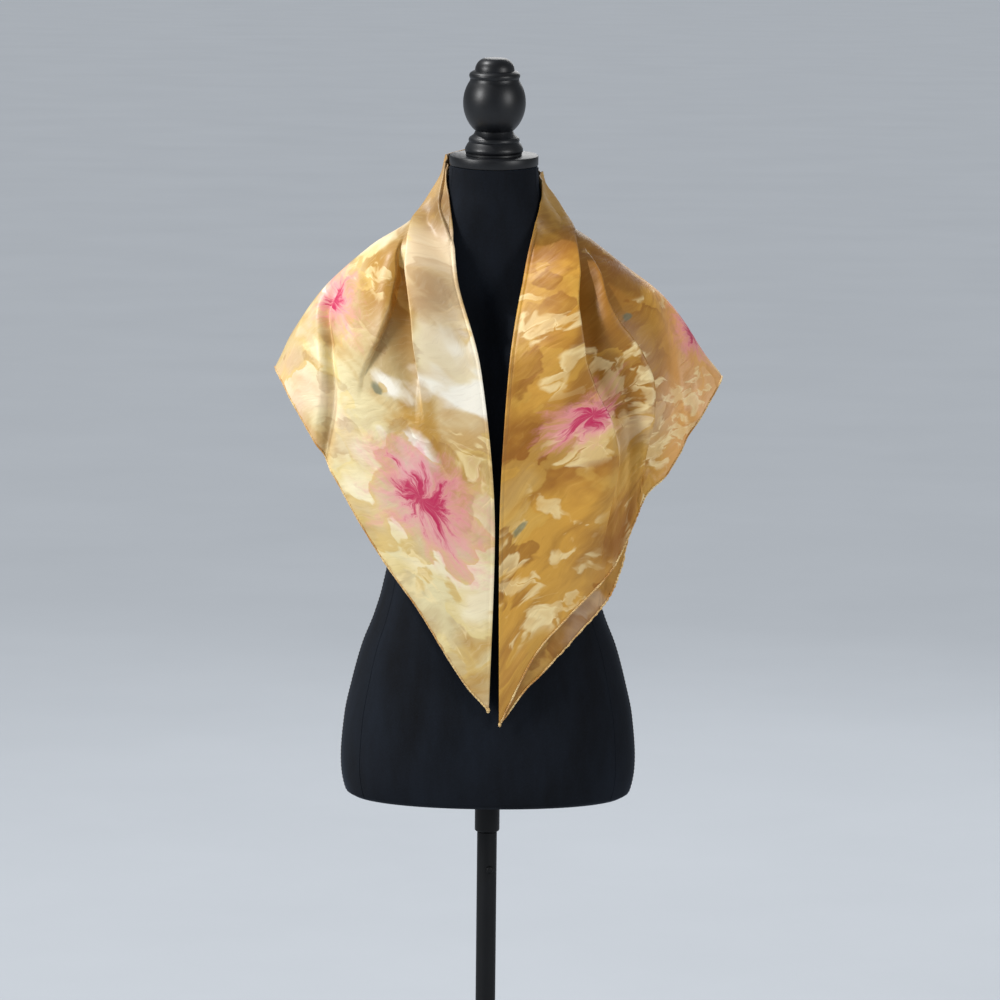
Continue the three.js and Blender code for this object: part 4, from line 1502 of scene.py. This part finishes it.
@dataclass
class DressForm:
    """The limbless form: a velvet torso with sewn seams, and its turned cap and finial."""

    shape: FormShape = field(default_factory=FormShape)
    sides: int = 72
    levels: int = 130
    torso_sides: int = 144
    cap_radius: float = 53 * MM
    cap_thickness: float = 12 * MM
    cap_edge: float = 1.2 * MM
    gap: float = 0.4 * MM
    bottom_rows: tuple = (0.0, 0.35, 1.2, 2.6, 4.5, 7, 10, 14, 19)
    seam_radius: float = 1.3 * MM
    seam_pitch: float = 4.7 * MM
    seam_pinch: float = 0.45
    seam_step: float = 1.15
    panel_angle: float = 0.36
    panel_lift: float = -0.35 * MM
    panel_radius: float = 0.9 * MM
    panel_pinch: float = 0.1

    def torso(self) -> Piece:
        """The torso's velvet skin, closed at the neck and rounded over at its bottom edge.

        Returns:
            The new piece.
        """
        shape = self.shape
        bottom = shape.bottom + np.array(self.bottom_rows)
        body = np.linspace(shape.bottom + 25, shape.neck_top, self.levels)
        heights = np.concatenate([bottom, body])
        angles = np.linspace(0, 2 * np.pi, self.torso_sides, endpoint=False)
        angle, z = np.meshgrid(angles, heights)
        radius = shape.radius(angle, z)
        x, y = radius * np.cos(angle), radius * np.sin(angle)
        points = np.stack([x, y, z + shape.slant(y, z)], axis=-1).reshape(-1, 3) * MM
        piece = new_piece("velvet_form", points, tube_faces(len(heights), self.torso_sides))
        only(piece)
        bpy.ops.object.shade_smooth_by_angle(angle=math.radians(50))
        return piece

    def seam(self, name: str, angle: float, lift: float, radius: float, pinch: float) -> Piece:
        """A sewn seam up the form's skin, from its bottom edge to the neck.

        Args:
            name: the piece's name.
            angle: its direction from the form's axis, in radians.
            lift: how far its middle stands off the skin.
            radius: its radius.
            pinch: how much each stitch narrows it, as a share.

        Returns:
            The new piece.
        """
        z = np.arange(self.shape.bottom + 4, self.shape.neck_top - 0.5, self.seam_step)
        turn = np.full_like(z, angle)
        reach = self.shape.radius(turn, z) * MM + lift
        slope = np.gradient(reach, z * MM)
        direction = np.array([math.cos(angle), math.sin(angle), 0])
        path = reach[:, None] * direction
        path[:, 2] = z * MM + self.shape.slant(path[:, 1] / MM, z) * MM
        out = unit(direction[None] - slope[:, None] * np.array([0, 0, 1.0]))
        run = np.cumsum(np.hypot(np.gradient(z), np.gradient(reach) / MM)) * MM
        stitch = 0.5 + 0.5 * np.cos(2 * np.pi * run / self.seam_pitch)
        return sweep(name, path, out, radius * (1 - pinch * stitch), 8, 0.9)

    def build(self) -> None:
        """Builds and dresses the form's pieces."""
        velvet, thread, lacquer = BlackVelvet().build(), SeamThread().build(), LacqueredWood().build()
        shape, forward = self.shape, self.panel_angle
        dress(self.torso(), velvet, Slot.VELVET, "form_torso")
        for side, angle, panel in (("left", 0.0, -forward), ("right", math.pi, math.pi + forward)):
            sewn = (0.0, self.seam_radius, self.seam_pinch)
            dress(self.seam(side + "_side_seam", angle, *sewn), thread, Slot.VELVET)
            sewn = (self.panel_lift, self.panel_radius, self.panel_pinch)
            dress(self.seam(side + "_panel_seam", panel, *sewn), velvet, Slot.VELVET)
        neck = Matrix.Translation((0, shape.neck_back * MM, shape.neck_top * MM))
        placed = neck @ Matrix.Rotation(shape.neck_tilt, 4, "X")
        edge, radius, high = self.cap_edge, self.cap_radius, self.cap_thickness
        cap = [(radius - edge, 0), (radius - edge / 3, edge / 3), (radius, edge), (radius, high - edge),
               (radius - edge / 3, high - edge / 3), (radius - edge, high)]
        above = placed @ Matrix.Translation((0, 0, self.gap))
        dress(turned_part("lacquered_neck_cap", cap, self.sides, above), lacquer, Slot.LACQUER, "neck_cap")
        above = placed @ Matrix.Translation((0, 0, high + 2 * self.gap))
        knob = in_metres(finial_profile())
        dress(turned_part("lacquered_finial", knob, self.sides, above), lacquer, Slot.LACQUER, "finial")


def in_metres(profile: tuple | list) -> list:
    """A profile given in millimetres, in metres."""
    return [(radius * MM, height * MM) for radius, height in profile]


def profile_arc(centre: tuple, radii: tuple, start: float, end: float, steps: int) -> list:
    """Points of a turned profile on an arc.

    Args:
        centre: its centre, as radius and height.
        radii: its reach across and upward.
        start: its first angle, in degrees.
        end: its last angle.
        steps: how many steps it has.

    Returns:
        Pairs of radius and height.
    """
    angles = np.radians(np.linspace(start, end, steps + 1))
    return [(centre[0] + radii[0] * math.cos(a), centre[1] + radii[1] * math.sin(a)) for a in angles]


def finial_profile() -> list:
    """The knob's profile in millimetres: two foot rings, a waist, a ball, a collar and a button.

    Returns:
        Pairs of radius and height.
    """
    return [
        (33.5, 0),
        *profile_arc((31, 6), (3.6, 5), -50, 40, 6),
        (32, 12.5),
        *profile_arc((26, 17.5), (4.4, 4.4), -30, 60, 6),
        (24.5, 24),
        (22.3, 28.5),
        *profile_arc((0, 62), (37.3, 42), -50, 38, 24),
        *profile_arc((26.5, 94), (3.8, 4.4), -50, 50, 6),
        (25.5, 99.5),
        *profile_arc((9, 100), (14.5, 15), 0, 72, 10),
        (9, 114.7),
        (4, 115),
    ]


def turned_part(name: str, profile: list, sides: int, placed: Matrix) -> Piece:
    """Turns a closed part on its axis by drawing out and resizing one ring, as on a lathe.

    Args:
        name: the piece's name.
        profile: pairs of radius and height from the bottom to the top, in metres.
        sides: corners of each ring.
        placed: where it goes.

    Returns:
        The new piece.
    """
    bpy.ops.object.select_all(action="DESELECT")
    radius, height = profile[0]
    bpy.ops.mesh.primitive_circle_add(vertices=sides, radius=radius, fill_type="NOTHING", location=(0, 0, 0))
    piece = bpy.context.object
    piece.name = piece.data.name = name
    bpy.ops.object.mode_set(mode="EDIT")
    bpy.ops.mesh.select_all(action="SELECT")
    bpy.ops.transform.translate(value=(0, 0, height))
    bpy.ops.mesh.edge_face_add()
    bpy.ops.mesh.select_all(action="SELECT")
    bpy.ops.mesh.select_mode(type="EDGE")
    for next_radius, next_height in profile[1:]:
        bpy.ops.mesh.extrude_edges_move(TRANSFORM_OT_translate={"value": (0, 0, next_height - height)})
        share = next_radius / radius
        bpy.ops.transform.resize(value=(share, share, 1), center_override=(0, 0, next_height))
        radius, height = next_radius, next_height
    bpy.ops.mesh.edge_face_add()
    bpy.ops.mesh.select_all(action="SELECT")
    bpy.ops.mesh.remove_doubles(threshold=1e-6)
    bpy.ops.mesh.normals_make_consistent(inside=False)
    bpy.ops.object.mode_set(mode="OBJECT")
    piece.data.transform(placed)
    bpy.ops.object.shade_smooth_by_angle(angle=math.radians(38))
    return piece


@dataclass
class Stand:
    """The pole with its socket, a small height button, and the weighted round base."""

    sides: int = 64
    base_sides: int = 128
    pole_radius: float = 12 * MM
    socket_radius: float = 15 * MM
    base_radius: float = 150 * MM
    base_thickness: float = 12 * MM
    base_round: float = 4 * MM
    button_height: float = 458 * MM
    button_away: float = math.radians(-72)
    button_sunk: float = 0.6 * MM
    button_profile: tuple = ((4.5, 0), (4.5, 1.2), (4.1, 2.1), (3.2, 2.9), (1.8, 3.3), (0.6, 3.4))
    chamfer: float = 1 * MM

    def button(self) -> Piece:
        """The small domed button that holds the pole's height, on its front.

        Returns:
            The new piece.
        """
        side = Vector((math.cos(self.button_away), math.sin(self.button_away), 0))
        foot = side * (self.pole_radius - self.button_sunk) + Vector((0, 0, self.button_height))
        placed = Matrix.Translation(foot) @ side.to_track_quat("Z", "Y").to_matrix().to_4x4()
        return turned_part("height_button", in_metres(self.button_profile), 24, placed)

    def build(self) -> None:
        """Builds and dresses the stand's pieces."""
        steel = CoatedSteel().build()
        lowest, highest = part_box("pole_socket")
        c, r, z0, z1 = self.chamfer, self.socket_radius, lowest[2], highest[2]
        socket = [(r - 3 * c, z0), (r - c, z0 + 0.9 * c), (r - 0.3 * c, z0 + 1.7 * c), (r, z0 + 3 * c),
                  (r, z1 - 0.5 * c), (r - 0.5 * c, z1)]
        dress(turned_part("pole_collar", socket, self.sides, Matrix()), steel, Slot.STAND, "pole_socket")
        lowest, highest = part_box("pole")
        r, z0, z1 = self.pole_radius, lowest[2], highest[2]
        pole = [(r - 0.5 * c, z0), (r, z0 + 0.5 * c), (r, z0 + (z1 - z0) / 2), (r, z1 - 0.5 * c),
                (r - 0.5 * c, z1)]
        dress(turned_part("steel_pole", pole, self.sides, Matrix()), steel, Slot.STAND, "pole")
        dress(self.button(), steel, Slot.STAND)
        boss = self.pole_radius
        high, r, e = self.base_thickness, self.base_radius, self.base_round
        lower, upper = np.radians((30, 60, 90)), np.radians((0, 30, 60, 90))
        base = [(r - e, 0), *[(r - e + e * math.sin(a), e - e * math.cos(a)) for a in lower],
                *[(r - e + e * math.cos(a), high - e + e * math.sin(a)) for a in upper],
                (2.45 * boss, high), (2.35 * boss, high + 0.6 * c), (1.97 * boss, 2.12 * high),
                (1.88 * boss, 2.2 * high)]
        dress(turned_part("weighted_base", base, self.base_sides, Matrix()), steel, Slot.STAND, "stand_base")


@dataclass
class Studio:
    """The pale floor, the lights and the camera."""

    camera_place: tuple = (0.0115, -5.5, 1.662)
    pitch_down: float = math.radians(7.8)
    roll: float = math.radians(0.6)
    lens: float = 166.5
    floor_radius: float = 70
    floor_colours: tuple = ("ABB0B6", "AFB4BA")
    key_towards: tuple = (-1.0, 0.16, 1.66)
    key_power: float = 2.6
    fills: tuple = (
        ("front_fill_left", (-3.4, -2.0, 2.8), 1.2, 34.0 * 4.2),
        ("front_fill_right", (3.1, -2.4, 2.2), 1.4, 34.0 * 1.9),
        ("back_fill", (0.6, 3.4, 2.6), 1.8, 34.0 * 0.8),
    )
    room_colour: str = "DDE2E8"
    world_power: float = 0.34

    def camera(self) -> None:
        """Makes the camera at the photograph's viewing angle."""
        data = bpy.data.cameras.new("studio_camera")
        data.lens, data.sensor_width = self.lens, 36
        data.clip_end = 200
        eye = bpy.data.objects.new("studio_camera", data)
        bpy.context.collection.objects.link(eye)
        forward = Vector((0, math.cos(self.pitch_down), -math.sin(self.pitch_down)))
        up = Vector((0, math.sin(self.pitch_down), math.cos(self.pitch_down)))
        across = Vector((1, 0, 0))
        right = across * math.cos(self.roll) + up * math.sin(self.roll)
        upright = up * math.cos(self.roll) - across * math.sin(self.roll)
        eye.matrix_world = Matrix((
            (right.x, upright.x, -forward.x, self.camera_place[0]),
            (right.y, upright.y, -forward.y, self.camera_place[1]),
            (right.z, upright.z, -forward.z, self.camera_place[2]),
            (0, 0, 0, 1),
        ))
        bpy.context.scene.camera = eye

    def floor(self) -> None:
        """Makes the plain pale floor."""
        bpy.ops.object.select_all(action="DESELECT")
        size = {"vertices": 96, "radius": self.floor_radius}
        bpy.ops.mesh.primitive_circle_add(**size, fill_type="NGON", location=(0, 0, 0))
        floor = bpy.context.object
        floor.name = "studio_floor"
        constants = {"Roughness": 0.8, "Specular IOR Level": 0.2}
        material, tree, shader = new_material("painted_studio_floor", constants)
        place = add_node(tree, "TexCoord", {}).outputs["Object"]
        mottle = add_noise(tree, place, 1.3, 6.0, 0.6)
        darker, lighter = self.floor_colours
        ramp = add_ramp(tree, mottle, (0.3, darker), (0.7, lighter))
        tree.links.new(ramp, shader.inputs["Base Color"])
        floor.data.materials.append(material)

    def softbox(self, name: str, place: tuple, size: float, power: float) -> None:
        """Adds a square soft light that faces the form.

        Args:
            name: its name.
            place: where it stands.
            size: its side.
            power: its power in watts.
        """
        data = bpy.data.lights.new(name, "AREA")
        data.shape, data.size, data.energy = "SQUARE", size, power
        light = bpy.data.objects.new(name, data)
        bpy.context.collection.objects.link(light)
        light.location = place
        towards = Vector((0, 0, 1.0)) - Vector(place)
        light.rotation_euler = towards.to_track_quat("-Z", "Y").to_euler()

    def lights(self) -> None:
        """Sets up the key from above the wearer's right, the three fills and the even room light."""
        data = bpy.data.lights.new("key", "SUN")
        data.energy, data.angle = self.key_power, math.radians(1.4)
        key = bpy.data.objects.new("key", data)
        bpy.context.collection.objects.link(key)
        key.rotation_euler = Vector(self.key_towards).to_track_quat("Z", "Y").to_euler()
        for fill in self.fills:
            self.softbox(*fill)
        world = bpy.data.worlds.new("studio_room")
        world.use_nodes = True
        background = world.node_tree.nodes["Background"]
        background.inputs[0].default_value = linear(self.room_colour)
        background.inputs[1].default_value = self.world_power
        bpy.context.scene.world = world
        bpy.context.scene.view_settings.view_transform = "Standard"

    def build(self) -> None:
        """Sets up the camera, the floor and the lights."""
        self.camera()
        self.floor()
        self.lights()


def main() -> None:
    """Builds the scarf, the form, the stand and the studio in order."""
    logging.basicConfig(level=logging.INFO, format="%(message)s")
    for part in (Studio(), DressForm(), Stand(), SilkScarf()):
        log.info("building %s", type(part).__name__)
        part.build()


if __name__ == "__main__":
    main()
